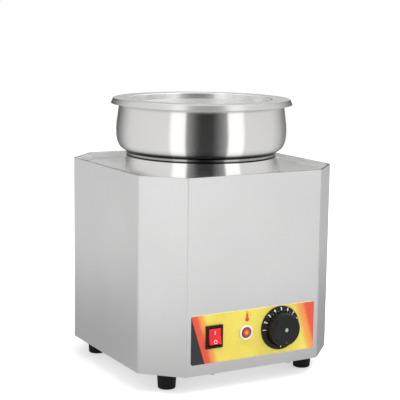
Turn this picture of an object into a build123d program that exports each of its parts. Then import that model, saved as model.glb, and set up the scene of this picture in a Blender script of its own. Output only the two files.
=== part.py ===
from build123d import *
import os
from math import atan2, cos, hypot, pi, radians, sin, sqrt, tan

os.makedirs("parts", exist_ok=True)

# Soup warmer. Millimetres, +Z up, the front faces -Y.
# The origin is on the floor, under the pot's axis, which is also the housing's centre.

# Housing, sheet steel with its corners cut off
body_width = 300.0
body_depth = 300.0
body_height = 262.0
corner_cut = 46.7
sheet = 1.2
bend_radius = 5.0
crease_radius = 1.5
edge_round = 0.4
hem_height = 8.0
base_flange = 12.0
return_flange = 14.0
seam_gap = 0.3
fit_gap = 0.3
deck_drop = 40.0
deck_flange = 12.0

# Rubber feet
foot_height = 24.5
foot_top_radius = 13.5
foot_bottom_radius = 11.9
foot_round = 2.0
foot_recess_radius = 5.5
foot_recess_depth = 9.0
front_foot_side_inset = 42.0
front_foot_end_inset = 43.5
back_foot_side_inset = 29.5
back_foot_end_inset = 62.0

# Soup pot
pot_mouth_radius = 99.2
pot_taper = 5.2
pot_depth = 222.0
pot_sheet = 1.0
pot_corner_radius = 14.0
lip_bend_radius = 1.9
lip_width = 24.8
skirt_out = 3.3
skirt_drop = 7.3
skirt_bend_radius = 1.7

# Bowl ring, which carries the pot
ring_sheet = 1.2
spigot_play = 1.8
spigot_sheet = 1.0
spigot_depth = 8.0
foot_band_out = 0.4
foot_band_height = 4.4
groove_depth = 1.6
groove_height = 2.2
bulge_out = 14.0
bulge_drop = 27.1
belly_rise = 2.6
neck_height = 43.8
neck_angle = 8.0
neck_curve = 7.0
rim_flange = 9.0

# Tank collar and water tank
lift_gap = 0.4
collar_rise = 9.4
collar_sheet = 1.2
collar_lip = 2.2
collar_spread = 7.4
collar_flange = 9.0
collar_shoulder = 3.4
collar_fall = 5.9
collar_haunch = 11.9
tank_sheet = 1.0
tank_corner_radius = 10.0
water_gap = 15.0

# Heater under the tank
element_inset = 8.0
element_tube = 4.0
element_gap_angle = 40.0
element_bend = 9.0
cold_end = 10.0
terminal_radius = 2.0
terminal_length = 9.0
bead_radius = 5.5
bead_length = 6.0
touch_gap = 0.1
clamp_inset = 4.0
clamp_sheet = 1.5
clamp_flat_inset = 20.0
stud_radius = 4.0
nut_play = 1.5
pad_inset = 20.0
pad_height = 10.0
pan_inset = 8.8
pan_sheet = 1.0
pan_stud_inset = 10.0
pan_stud_radius = 2.0
pan_stud_count = 3
pan_stud_angle = 30.0
cutout_radius = 8.2
cutout_height = 7.0
cutout_inset = 14.0
cutout_ear = 24.0
cutout_angle = -60.0

# Label plate and the controls on it
label_margin = 6.28
label_height = 66.0
label_sheet = 0.5
label_corner = 3.0
label_centre_height = 48.25
control_height = 50.5
switch_gap_share = 0.246
lamp_gap_share = 0.299
dial_gap_share = 0.163
panel_play = 0.3

# Rocker switch
bezel_width = 25.5
bezel_height = 31.0
bezel_depth = 2.2
bezel_corner = 1.2
bezel_round = 0.6
switch_width = 21.5
switch_tall = 27.4
switch_back = 24.0
rocker_width = 17.4
rocker_half = 10.8
rocker_face = 5.0
rocker_angle = 8.0
rocker_proud = 0.8
rocker_play = 0.35
rocker_under = 3.2
rocker_taper = 2.3
rocker_valley = 14.0
rocker_round = 0.8
pivot_radius = 1.2
pivot_length = 1.0
pivot_gap = 0.05
blade_width = 6.3
small_blade_width = 2.8
blade_sheet = 0.8
blade_length = 9.0
blade_pitch_x = 12.0
blade_pitch_z = 13.0

# Indicator lamp
lamp_bezel_radius = 10.0
lamp_bezel_depth = 2.6
lamp_bezel_round = 1.1
lamp_barrel_radius = 8.2
lamp_bore_radius = 5.5
lamp_length = 22.0
lens_radius = 7.4
lens_seat_depth = 2.2
lens_flange = 1.4
lens_crown = 1.6
bulb_radius = 2.8
bulb_length = 12.0
bulb_round = 2.2
plug_flange = 2.6
lamp_nut_flats = 20.0
lamp_nut_height = 3.5

# Thermostat, its numbered dial and its knob
shaft_radius = 3.0
shaft_flat = 1.5
shaft_reach = 13.0
shaft_depth = 12.0
running_gap = 0.05
dial_radius = 30.0
dial_floor = 1.2
dial_edge = 2.2
dial_rise = 1.8
dial_round = 0.7
dial_gap = 0.4
knob_gap = 0.8
cap_radius = 22.9
cap_top_radius = 21.8
cap_height = 18.0
cap_round = 3.0
cap_wall = 2.0
hub_radius = 6.5
dish_radius = 17.0
dish_depth = 1.5
thermostat_plate_width = 44.0
thermostat_plate_height = 34.0
thermostat_sheet = 1.5
thermostat_width = 36.0
thermostat_height = 46.0
thermostat_depth = 28.0
thermostat_screw_spacing = 28.0
bushing_radius = 5.0

# Thermostat bulb on the tank wall
sensor_radius = 3.0
sensor_length = 75.0
sensor_lift = 8.0
sensor_round = 2.4
capillary_radius = 0.9
capillary_bend = 3.6
capillary_stub = 11.0
capillary_inset = 6.0
clip_sheet = 1.0
clip_height = 10.0
clip_tab_angle = 6.0

# Cable gland and terminal block at the back
gland_x = 60.0
gland_height = 36.0
gland_bore = 4.0
gland_thread_radius = 8.0
gland_flats = 22.0
gland_hex = 6.0
gland_cap_radius = 9.5
gland_cap = 12.5
gland_round = 4.0
gland_inside = 12.0
gland_nut_height = 5.0
block_width = 46.0
block_depth = 20.0
block_height = 18.0
block_y = 92.0
block_poles = 3
well_radius = 3.0
well_depth = 6.0
wire_radius = 2.2
earth_x = 10.0
earth_y = 96.0
earth_length = 14.0

# Fasteners: thread radius, across flats and heights
m4_radius = 2.0
m4_flats = 7.0
m4_nut = 3.2
m5_radius = 2.5
m5_flats = 8.0
m5_nut = 4.0
m8_flats = 13.0
m8_nut = 6.5
hole_play = 0.25
head_height = 2.4
m4_head = 4.0
m5_head = 4.6
thread_over = 1.0
base_shank = 8.0
base_screw_offset = 60.0
panel_stud_length = 9.0
panel_stud_low = 30.0
panel_stud_high = 195.0

# Vent slots in the bottom plate
slot_length = 44.0
slot_width = 4.0
slot_pitch = 12.0
slot_rows = 5
slot_columns = 2
slot_column_pitch = 70.0

# Heights above the floor, worked out from the sizes
base_z = foot_height
top_z = base_z + body_height
plate_z = base_z + sheet
deck_z = top_z - deck_drop
control_z = base_z + control_height
label_z = base_z + label_centre_height
collar_top_z = top_z + collar_rise
seat_z = collar_top_z + lift_gap
bulge_z = seat_z + foot_band_height + groove_height + bulge_drop
ring_top_z = bulge_z + neck_height
lip_z = ring_top_z + lift_gap + pot_sheet
pot_floor_z = lip_z - pot_depth
tank_floor_z = pot_floor_z - pot_sheet - water_gap
tank_under_z = tank_floor_z - tank_sheet

# Radii, worked out from the pot outwards
pot_floor_radius = pot_mouth_radius - pot_taper
pot_outer = pot_mouth_radius + pot_sheet
spigot_inner = pot_outer + spigot_play
spigot_outer = spigot_inner + spigot_sheet
collar_mouth = spigot_outer + lift_gap
collar_top_radius = collar_mouth + collar_lip
band_radius = collar_top_radius + foot_band_out
bulge_radius = band_radius + bulge_out
collar_radius = collar_top_radius + collar_spread
tank_radius = collar_radius - collar_sheet
tank_outer = tank_radius + tank_sheet
flange_radius = collar_radius + collar_flange
pan_radius = tank_outer - pan_inset
pan_stud_circle_radius = pan_radius - pan_stud_inset
cutout_circle_radius = pan_radius - cutout_inset
pad_radius = pan_radius - pad_inset
clamp_radius = pad_radius - clamp_inset
element_radius = clamp_radius - element_inset
clamp_flat = element_radius - clamp_flat_inset

# Depths along Y, worked out from the front and back faces
front_y = -body_depth / 2
back_y = body_depth / 2
panel_back_y = front_y + sheet
label_y = front_y - label_sheet

flat_half = body_width / 2 - corner_cut
panel_half = flat_half - crease_radius * tan(pi / 8) - seam_gap - touch_gap
front_cut = panel_half + seam_gap
return_root = flat_half + sheet * (2 - sqrt(2))
return_edge = front_cut - return_flange
stud_x = (return_root + return_edge) / 2

# Places of the controls: shares of the label's width that they leave free are the gaps between them
label_width = 2 * (panel_half - label_margin)
free_width = label_width - bezel_width - 2 * lamp_bezel_radius - 2 * dial_radius
switch_x = -label_width / 2 + switch_gap_share * free_width + bezel_width / 2
lamp_x = switch_x + bezel_width / 2 + lamp_gap_share * free_width + lamp_bezel_radius
knob_x = lamp_x + lamp_bezel_radius + dial_gap_share * free_width + dial_radius

front_foot_x = body_width / 2 - front_foot_side_inset
front_foot_y = body_depth / 2 - front_foot_end_inset
back_foot_x = body_width / 2 - back_foot_side_inset
back_foot_y = body_depth / 2 - back_foot_end_inset
front_feet = [(-front_foot_x, -front_foot_y), (front_foot_x, -front_foot_y)]
back_feet = [(-back_foot_x, back_foot_y), (back_foot_x, back_foot_y)]
feet = front_feet + back_feet

screw_inset = base_flange / 2 + sheet / 2
screw_x = body_width / 2 - screw_inset
screw_y = body_depth / 2 - screw_inset
side_screws = [(sx * screw_x, sy * base_screw_offset) for sx in (-1, 1) for sy in (-1, 1)]
back_screws = [(sx * base_screw_offset, screw_y) for sx in (-1, 1)]
front_screws = [(sx * base_screw_offset, -screw_y) for sx in (-1, 1)]
base_screws = side_screws + back_screws + front_screws

panel_studs = [(sx * stud_x, base_z + h) for sx in (-1, 1) for h in (panel_stud_low, panel_stud_high)]
thermostat_screw_x = [knob_x + sx * thermostat_screw_spacing / 2 for sx in (-1, 1)]


def facing_front(x, y, z):
    """Plane that looks out of the front: local x is X, local y is Z, its normal is -Y."""
    return Plane(origin=(x, y, z), x_dir=(1, 0, 0), z_dir=(0, -1, 0))


def facing_back(x, y, z):
    """Plane that looks out of the back: local y is Z, its normal is +Y."""
    return Plane(origin=(x, y, z), x_dir=(-1, 0, 0), z_dir=(0, 1, 0))


def along_front(x, y, z):
    """Plane through a front control's axis: local x is its radius, local y runs out along -Y."""
    return Plane(origin=(x, y, z), x_dir=(1, 0, 0), z_dir=(0, 0, -1))


def along_back(x, y, z):
    """Plane through a rear fitting's axis: local x is its radius, local y runs out along +Y."""
    return Plane(origin=(x, y, z), x_dir=(1, 0, 0), z_dir=(0, 0, 1))


def octagon_points(inset):
    """Corners of the cut-corner square, moved in from the outer faces, front left corner first."""
    half_x = body_width / 2 - inset
    half_y = body_depth / 2 - inset
    short_x = body_width / 2 - corner_cut - inset * (sqrt(2) - 1)
    short_y = body_depth / 2 - corner_cut - inset * (sqrt(2) - 1)
    front = [(-short_x, -half_y), (short_x, -half_y), (half_x, -short_y)]
    back = [(half_x, short_y), (short_x, half_y), (-short_x, half_y)]
    return front + back + [(-half_x, short_y), (-half_x, -short_y)]


def octagon(inset, corner, front_corner):
    """Cut-corner square as a sketch, its bends rounded, the two beside the front panel less so."""
    with BuildSketch() as outline:
        with BuildLine():
            Polyline(octagon_points(inset), close=True)
        make_face()
        rows = outline.vertices().group_by(Axis.Y)
        fillet([corner_point for row in rows[1:] for corner_point in row], corner)
        if front_corner > 0:
            fillet(outline.vertices().group_by(Axis.Y)[0], front_corner)
    return outline.sketch


def corner_near(sketch, x, y):
    """The sketch's corner nearest to a point of its plane."""
    return sketch.vertices().sort_by_distance((x, y, 0))[0]


def pan_screw(seat, head_radius, shank_radius, shank_length):
    """A screw whose head stands on the seat plane and whose shank goes through it."""
    with BuildPart() as screw:
        with BuildSketch(seat):
            Circle(head_radius)
        extrude(amount=head_height)
        with BuildSketch(seat):
            Circle(shank_radius)
        extrude(amount=-shank_length)
    return screw.part


def hex_nut(seat, flats, height, bore_radius):
    """A nut that stands on the seat plane."""
    with BuildPart() as nut:
        with BuildSketch(seat):
            RegularPolygon(flats / 2, 6, major_radius=False)
            Circle(bore_radius, mode=Mode.SUBTRACT)
        extrude(amount=height)
    return nut.part


# Housing wrapper: both sides, the back and the cut corners, bent from one sheet
inner_bend = bend_radius - sheet
with BuildPart() as housing_wrapper:
    with BuildSketch(Plane.XY.offset(base_z)):
        add(octagon(0, bend_radius, crease_radius))
        add(octagon(sheet, inner_bend, 0), mode=Mode.SUBTRACT)
        with Locations((0, front_y)):
            Rectangle(2 * front_cut, 2 * sheet, mode=Mode.SUBTRACT)
    extrude(amount=body_height)
    with BuildSketch(Plane.XY.offset(top_z)):
        add(octagon(sheet, inner_bend, 0))
        add(octagon(2 * sheet, inner_bend, 0), mode=Mode.SUBTRACT)
        with Locations((0, front_y)):
            Rectangle(2 * front_cut, 6 * sheet, mode=Mode.SUBTRACT)
    extrude(amount=-hem_height)
    with BuildSketch(Plane.XY.offset(base_z)):
        add(octagon(sheet, inner_bend, 0))
        add(octagon(base_flange, bend_radius, 0), mode=Mode.SUBTRACT)
        with Locations((0, front_y)):
            Rectangle(2 * front_cut, 2 * base_flange + 2 * fit_gap, mode=Mode.SUBTRACT)
        with Locations(*side_screws, *back_screws):
            Circle(m4_radius + hole_play, mode=Mode.SUBTRACT)
    extrude(amount=sheet)
    return_low_z = base_z + 3 * sheet
    return_high_z = top_z - hem_height - fit_gap
    for side in (-1, 1):
        with BuildSketch(Plane.XY.offset(return_low_z)):
            with Locations((side * (return_root + return_edge) / 2, panel_back_y + sheet / 2)):
                Rectangle(return_root - return_edge, sheet)
        extrude(amount=return_high_z - return_low_z)
    for x, z in panel_studs:
        with BuildSketch(facing_front(x, panel_back_y, z)):
            Circle(m4_radius + hole_play)
        extrude(amount=-2 * sheet, mode=Mode.SUBTRACT)
    with BuildSketch(facing_back(gland_x, back_y - 2 * sheet, base_z + gland_height)):
        Circle(gland_thread_radius + hole_play)
    extrude(amount=3 * sheet, mode=Mode.SUBTRACT)
housing_wrapper.part.label = "housing_wrapper"
export_step(housing_wrapper.part, "parts/housing_wrapper.step")

# Front panel: a flat face with a folded top edge, a foot flange and four welded studs
with BuildPart() as front_panel:
    with BuildSketch(facing_front(0, panel_back_y, base_z + body_height / 2)):
        Rectangle(2 * panel_half, body_height)
    extrude(amount=sheet)
    fillet(front_panel.edges().filter_by(Axis.Z).group_by(Axis.Y)[0], edge_round)
    with BuildSketch(facing_front(0, panel_back_y + sheet, top_z - hem_height / 2)):
        Rectangle(2 * panel_half, hem_height)
    extrude(amount=sheet)
    with BuildSketch(Plane.XY.offset(base_z)):
        with Locations((0, front_y + sheet + (base_flange - sheet) / 2)):
            Rectangle(2 * panel_half, base_flange - sheet)
        with Locations(*front_screws):
            Circle(m4_radius + hole_play, mode=Mode.SUBTRACT)
    extrude(amount=sheet)
    for x, z in panel_studs:
        with BuildSketch(facing_front(x, panel_back_y, z)):
            Circle(m4_radius)
        extrude(amount=-panel_stud_length)
    with BuildSketch(facing_front(switch_x, front_y, control_z)):
        Rectangle(switch_width + 2 * panel_play, switch_tall + 2 * panel_play)
    extrude(amount=-sheet, mode=Mode.SUBTRACT)
    with BuildSketch(facing_front(lamp_x, front_y, control_z)):
        Circle(lamp_barrel_radius + panel_play)
    extrude(amount=-sheet, mode=Mode.SUBTRACT)
    with BuildSketch(facing_front(knob_x, front_y, control_z)):
        Circle(bushing_radius + panel_play)
    extrude(amount=-sheet, mode=Mode.SUBTRACT)
    for x in thermostat_screw_x:
        with BuildSketch(facing_front(x, front_y, control_z)):
            Circle(m4_radius + hole_play)
        extrude(amount=-sheet, mode=Mode.SUBTRACT)
front_panel.part.label = "front_panel"
export_step(front_panel.part, "parts/front_panel.step")

with BuildPart() as panel_nuts:
    for x, z in panel_studs:
        add(hex_nut(facing_back(x, panel_back_y + sheet, z), m4_flats, m4_nut, m4_radius))
panel_nuts.part.label = "panel_nuts"
export_step(panel_nuts.part, "parts/panel_nuts.step")

# Deck plate: closes the housing below its top edges and carries the tank in a round hole
with BuildPart() as deck_plate:
    with BuildSketch(Plane.XY.offset(deck_z - sheet)):
        add(octagon(sheet, bend_radius, bend_radius))
        Circle(tank_outer + fit_gap, mode=Mode.SUBTRACT)
    extrude(amount=sheet)
    with BuildSketch(Plane.XY.offset(deck_z - sheet)):
        add(octagon(sheet, bend_radius, bend_radius))
        add(octagon(2 * sheet, bend_radius, bend_radius), mode=Mode.SUBTRACT)
    extrude(amount=-deck_flange)
    notch_width = return_root - return_edge + 2 * fit_gap
    for side in (-1, 1):
        with BuildSketch(Plane.XY.offset(deck_z)):
            with Locations((side * (return_root + return_edge) / 2, panel_back_y + sheet / 2)):
                Rectangle(notch_width, sheet + 2 * fit_gap)
        extrude(amount=-deck_flange - 2 * sheet, mode=Mode.SUBTRACT)
deck_plate.part.label = "deck_plate"
export_step(deck_plate.part, "parts/deck_plate.step")

# Bottom plate: lies on the housing's foot flange, with vent slots and the feet's holes
with BuildPart() as bottom_plate:
    with BuildSketch(Plane.XY.offset(plate_z)):
        add(octagon(sheet + fit_gap, bend_radius, bend_radius))
        with Locations(*base_screws):
            Circle(m4_radius + hole_play, mode=Mode.SUBTRACT)
        with Locations(*feet):
            Circle(m5_radius + hole_play, mode=Mode.SUBTRACT)
        with GridLocations(slot_column_pitch, slot_pitch, slot_columns, slot_rows):
            SlotOverall(slot_length, slot_width, mode=Mode.SUBTRACT)
    extrude(amount=sheet)
bottom_plate.part.label = "bottom_plate"
export_step(bottom_plate.part, "parts/bottom_plate.step")

with BuildPart() as base_plate_screws:
    for x, y in base_screws:
        seat = Plane(origin=(x, y, base_z), x_dir=(1, 0, 0), z_dir=(0, 0, -1))
        add(pan_screw(seat, m4_head, m4_radius, base_shank))
base_plate_screws.part.label = "base_plate_screws"
export_step(base_plate_screws.part, "parts/base_plate_screws.step")

# Rubber feet: tapered, rounded at the floor, with a recess for the screw's head
with BuildPart() as rubber_feet:
    for x, y in feet:
        with BuildSketch(Plane.XZ.offset(-y)) as side:
            with BuildLine():
                floor_edge = (x + foot_bottom_radius, 0)
                Polyline((x, plate_z), (x, 0), floor_edge, (x + foot_top_radius, plate_z), close=True)
            make_face()
            fillet(corner_near(side, *floor_edge), foot_round)
        revolve(axis=Axis((x, y, 0), (0, 0, 1)))
        with BuildSketch(Plane.XY):
            with Locations((x, y)):
                Circle(foot_recess_radius)
        extrude(amount=foot_recess_depth, mode=Mode.SUBTRACT)
        with BuildSketch(Plane.XY):
            with Locations((x, y)):
                Circle(m5_radius + hole_play)
        extrude(amount=plate_z, mode=Mode.SUBTRACT)
rubber_feet.part.label = "rubber_feet"
export_step(rubber_feet.part, "parts/rubber_feet.step")

foot_screw_z = foot_recess_depth
foot_shank = plate_z + sheet + m5_nut + thread_over - foot_screw_z
with BuildPart() as foot_screws:
    for x, y in feet:
        seat = Plane(origin=(x, y, foot_screw_z), x_dir=(1, 0, 0), z_dir=(0, 0, -1))
        add(pan_screw(seat, m5_head, m5_radius, foot_shank))
foot_screws.part.label = "foot_screws"
export_step(foot_screws.part, "parts/foot_screws.step")

with BuildPart() as foot_nuts:
    for x, y in feet:
        add(hex_nut(Plane(origin=(x, y, plate_z + sheet)), m5_flats, m5_nut, m5_radius))
foot_nuts.part.label = "foot_nuts"
export_step(foot_nuts.part, "parts/foot_nuts.step")

# Water tank: a drawn pan that hangs from its flange on the deck, studs welded under its floor
tank_flange_z = deck_z + tank_sheet
element_z = tank_under_z - touch_gap - element_tube
clamp_z = element_z - element_tube - touch_gap
clamp_under_z = clamp_z - clamp_sheet
pad_z = clamp_under_z - touch_gap
pan_z = pad_z - pad_height - touch_gap
pan_under_z = pan_z - pan_sheet
centre_stud = tank_under_z - clamp_under_z + m8_nut + thread_over
pan_stud = tank_under_z - pan_under_z + m4_nut + thread_over
with BuildPart() as water_tank:
    with BuildSketch(Plane.XZ) as side:
        with BuildLine():
            Polyline(
                (0, tank_under_z),
                (tank_outer, tank_under_z),
                (tank_outer, deck_z),
                (flange_radius, deck_z),
                (flange_radius, tank_flange_z),
                (tank_radius, tank_flange_z),
                (tank_radius, tank_floor_z),
                (0, tank_floor_z),
                close=True,
            )
        make_face()
        fillet(corner_near(side, tank_outer, tank_under_z), tank_corner_radius + tank_sheet)
        fillet(corner_near(side, tank_radius, tank_floor_z), tank_corner_radius)
    revolve(axis=Axis.Z)
    with BuildSketch(Plane.XY.offset(tank_under_z)):
        Circle(stud_radius)
    extrude(amount=-centre_stud)
    with BuildSketch(Plane.XY.offset(tank_under_z)):
        with PolarLocations(pan_stud_circle_radius, pan_stud_count, start_angle=pan_stud_angle):
            Circle(pan_stud_radius)
    extrude(amount=-pan_stud)
water_tank.part.label = "water_tank"
export_step(water_tank.part, "parts/water_tank.step")

# Tank collar: a spun dome on the tank's flange, its mouth takes the bowl ring's spigot
collar_flange_z = tank_flange_z + collar_sheet


def collar_side(depth, foot_z):
    """Draw the collar's dome, depth inside its outer face, from its top edge to foot_z."""
    top = collar_top_z - depth
    Bezier(
        (collar_top_radius - depth, top),
        (collar_top_radius - depth + collar_shoulder, top - collar_fall),
        (collar_radius - depth, top - collar_haunch),
        (collar_radius - depth, foot_z),
    )


with BuildPart() as tank_collar:
    with BuildSketch(Plane.XZ) as side:
        with BuildLine():
            collar_side(0, collar_flange_z)
            Polyline(
                (collar_radius, collar_flange_z),
                (flange_radius, collar_flange_z),
                (flange_radius, tank_flange_z),
                (collar_radius - collar_sheet, tank_flange_z),
            )
            collar_side(collar_sheet, tank_flange_z)
            Polyline(
                (collar_top_radius - collar_sheet, collar_top_z - collar_sheet),
                (collar_mouth, collar_top_z - collar_sheet),
                (collar_mouth, collar_top_z),
                (collar_top_radius, collar_top_z),
            )
        make_face()
    revolve(axis=Axis.Z)
tank_collar.part.label = "tank_collar"
export_step(tank_collar.part, "parts/tank_collar.step")

# Bowl ring: a bulged ring with a foot band, a spigot that drops into the collar and a rim
neck_lean = tan(radians(neck_angle))
band_top_z = seat_z + foot_band_height
crease_z = band_top_z + groove_height


def ring_side(depth, low_z, high_z):
    """Draw the bowl ring's side, depth inside its outer face, from low_z to high_z."""
    band = band_radius - depth
    wide = bulge_radius - depth
    groove = (band - groove_depth, band_top_z + groove_height / 2)
    cone = (wide - neck_lean * neck_curve, bulge_z + 2 * neck_curve)
    foot = (band, crease_z + depth)
    Polyline((band, low_z), (band, band_top_z), groove, foot)
    Bezier(foot, (wide, crease_z + belly_rise + depth), (wide, bulge_z))
    Bezier((wide, bulge_z), (wide, bulge_z + neck_curve), cone)
    Line(cone, (ring_radius(high_z) - depth, high_z))


def ring_radius(height):
    """Outer radius of the bowl ring's neck at a height above the bulge."""
    return bulge_radius - neck_lean * (height - bulge_z - neck_curve)


rim_radius = ring_radius(ring_top_z)
rim_under_z = ring_top_z - ring_sheet
foot_top_z = seat_z + ring_sheet
with BuildPart() as bowl_ring:
    with BuildSketch(Plane.XZ) as side:
        with BuildLine():
            ring_side(0, seat_z, ring_top_z)
            Polyline(
                (rim_radius, ring_top_z),
                (rim_radius - rim_flange, ring_top_z),
                (rim_radius - rim_flange, rim_under_z),
                (ring_radius(rim_under_z) - ring_sheet, rim_under_z),
            )
            ring_side(ring_sheet, foot_top_z, rim_under_z)
            Polyline(
                (band_radius - ring_sheet, foot_top_z),
                (spigot_inner, foot_top_z),
                (spigot_inner, seat_z - spigot_depth),
                (spigot_outer, seat_z - spigot_depth),
                (spigot_outer, seat_z),
                (band_radius, seat_z),
            )
        make_face()
        fillet(corner_near(side, rim_radius, ring_top_z), ring_sheet)
    revolve(axis=Axis.Z)
bowl_ring.part.label = "bowl_ring"
export_step(bowl_ring.part, "parts/bowl_ring.step")

# Soup pot: a deep drawn pot whose wide lip rests on the bowl ring, its edge turned down
lip_radius = pot_mouth_radius + lip_width
pot_under_radius = pot_corner_radius + pot_sheet
skirt_lean = atan2(skirt_out, skirt_drop)
under_edge = lip_radius - pot_sheet * (1 - sin(skirt_lean)) / cos(skirt_lean)
skirt_tip = (lip_radius + skirt_out, lip_z - skirt_drop)
skirt_inner_tip = (skirt_tip[0] - pot_sheet * cos(skirt_lean), skirt_tip[1] - pot_sheet * sin(skirt_lean))
with BuildPart() as soup_pot:
    with BuildSketch(Plane.XZ):
        with BuildLine():
            FilletPolyline(
                (0, pot_floor_z),
                (pot_floor_radius, pot_floor_z),
                (pot_mouth_radius, lip_z),
                (lip_radius, lip_z),
                skirt_tip,
                radius=[pot_corner_radius, lip_bend_radius, skirt_bend_radius],
            )
            Line(skirt_tip, skirt_inner_tip)
            FilletPolyline(
                skirt_inner_tip,
                (under_edge, lip_z - pot_sheet),
                (pot_outer, lip_z - pot_sheet),
                (pot_floor_radius + pot_sheet, pot_floor_z - pot_sheet),
                (0, pot_floor_z - pot_sheet),
                radius=[skirt_bend_radius - pot_sheet, lip_bend_radius - pot_sheet, pot_under_radius],
            )
            Line((0, pot_floor_z - pot_sheet), (0, pot_floor_z))
        make_face()
    revolve(axis=Axis.Z)
soup_pot.part.label = "soup_pot"
export_step(soup_pot.part, "parts/soup_pot.step")

# Heating element: a tube bent to an open ring, both cold ends turned down at the back
ring_start = 90 + element_gap_angle / 2
ring_arc = 360 - element_gap_angle
cold_z = element_z - element_bend
pin_z = cold_z - cold_end
leg_places = []
with BuildPart() as heating_element:
    for side, angle in ((1, ring_start), (-1, ring_start + ring_arc)):
        out = Vector(cos(radians(angle)), sin(radians(angle)), 0)
        onward = Vector(side * out.Y, -side * out.X, 0)
        section = Plane(origin=(0, 0, element_z), x_dir=out, z_dir=(out.Y, -out.X, 0))
        end = out * element_radius + Vector(0, 0, element_z)
        leg = end + onward * element_bend
        leg_places.append((leg.X, leg.Y))
        if side == 1:
            with BuildSketch(section):
                with Locations((element_radius, 0)):
                    Circle(element_tube)
            revolve(axis=Axis.Z, revolution_arc=ring_arc)
        with BuildSketch(section):
            with Locations((element_radius, 0)):
                Circle(element_tube)
        revolve(axis=Axis(end - Vector(0, 0, element_bend), out * side), revolution_arc=90)
        with BuildSketch(Plane.XY.offset(cold_z)):
            with Locations((leg.X, leg.Y)):
                Circle(element_tube)
        extrude(amount=-cold_end)
        with BuildSketch(Plane.XY.offset(pin_z)):
            with Locations((leg.X, leg.Y)):
                Circle(terminal_radius)
        extrude(amount=-terminal_length)
heating_element.part.label = "heating_element"
export_step(heating_element.part, "parts/heating_element.step")

with BuildPart() as element_beads:
    with BuildSketch(Plane.XY.offset(pin_z)):
        with Locations(*leg_places):
            Circle(bead_radius)
            Circle(terminal_radius, mode=Mode.SUBTRACT)
    extrude(amount=-bead_length)
element_beads.part.label = "element_beads"
export_step(element_beads.part, "parts/element_beads.step")

# Clamp plate: presses the element against the tank floor, cut off flat at the back for its ends
with BuildPart() as clamp_plate:
    with BuildSketch(Plane.XY.offset(clamp_under_z)):
        Circle(clamp_radius)
        Circle(stud_radius + hole_play, mode=Mode.SUBTRACT)
        with Locations((0, clamp_flat + clamp_radius)):
            Rectangle(2 * clamp_radius, 2 * clamp_radius, mode=Mode.SUBTRACT)
    extrude(amount=clamp_sheet)
clamp_plate.part.label = "clamp_plate"
export_step(clamp_plate.part, "parts/clamp_plate.step")

with BuildPart() as clamp_nut:
    seat = Plane(origin=(0, 0, clamp_under_z), x_dir=(1, 0, 0), z_dir=(0, 0, -1))
    add(hex_nut(seat, m8_flats, m8_nut, stud_radius))
clamp_nut.part.label = "clamp_nut"
export_step(clamp_nut.part, "parts/clamp_nut.step")

# Insulation pad between the clamp plate and the pan
nut_room = m8_flats / sqrt(3) + nut_play
with BuildPart() as insulation_pad:
    with BuildSketch(Plane.XY.offset(pad_z)):
        Circle(pad_radius)
        Circle(nut_room, mode=Mode.SUBTRACT)
        with Locations((0, clamp_flat + pad_radius)):
            Rectangle(2 * pad_radius, 2 * pad_radius, mode=Mode.SUBTRACT)
    extrude(amount=-pad_height)
insulation_pad.part.label = "insulation_pad"
export_step(insulation_pad.part, "parts/insulation_pad.step")

# Heat shield: a shallow pan round the heater, with a slot for the element's ends
leg_x = abs(leg_places[0][0])
leg_y = leg_places[0][1]
with BuildPart() as heat_shield:
    with BuildSketch(Plane.XY.offset(pan_under_z)):
        Circle(pan_radius)
    extrude(amount=tank_under_z - touch_gap - pan_under_z)
    with BuildSketch(Plane.XY.offset(pan_z)):
        Circle(pan_radius - pan_sheet)
    extrude(amount=tank_under_z - pan_z, mode=Mode.SUBTRACT)
    with BuildSketch(Plane.XY.offset(pan_under_z)):
        with PolarLocations(pan_stud_circle_radius, pan_stud_count, start_angle=pan_stud_angle):
            Circle(pan_stud_radius + hole_play)
        with Locations((0, leg_y)):
            SlotCenterToCenter(2 * leg_x, 2 * element_tube + 2 * nut_play)
    extrude(amount=pan_sheet, mode=Mode.SUBTRACT)
heat_shield.part.label = "heat_shield"
export_step(heat_shield.part, "parts/heat_shield.step")

with BuildPart() as shield_nuts:
    for place in PolarLocations(pan_stud_circle_radius, pan_stud_count, start_angle=pan_stud_angle):
        seat = Plane(origin=place.position + Vector(0, 0, pan_under_z), x_dir=(1, 0, 0), z_dir=(0, 0, -1))
        add(hex_nut(seat, m4_flats, m4_nut, pan_stud_radius))
shield_nuts.part.label = "shield_nuts"
export_step(shield_nuts.part, "parts/shield_nuts.step")

# Dry-boil cut-out: a disc thermostat held against the tank floor by its eared cap
cutout_x = cutout_circle_radius * cos(radians(cutout_angle))
cutout_y = cutout_circle_radius * sin(radians(cutout_angle))
with BuildPart() as dry_boil_cutout:
    seat = Plane(origin=(cutout_x, cutout_y, tank_under_z), x_dir=(-cutout_y, cutout_x, 0), z_dir=(0, 0, -1))
    with BuildSketch(seat):
        SlotOverall(cutout_ear, cutout_radius)
    extrude(amount=clip_sheet)
    with BuildSketch(seat):
        Circle(cutout_radius)
    extrude(amount=cutout_height)
dry_boil_cutout.part.label = "dry_boil_cutout"
export_step(dry_boil_cutout.part, "parts/dry_boil_cutout.step")

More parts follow.
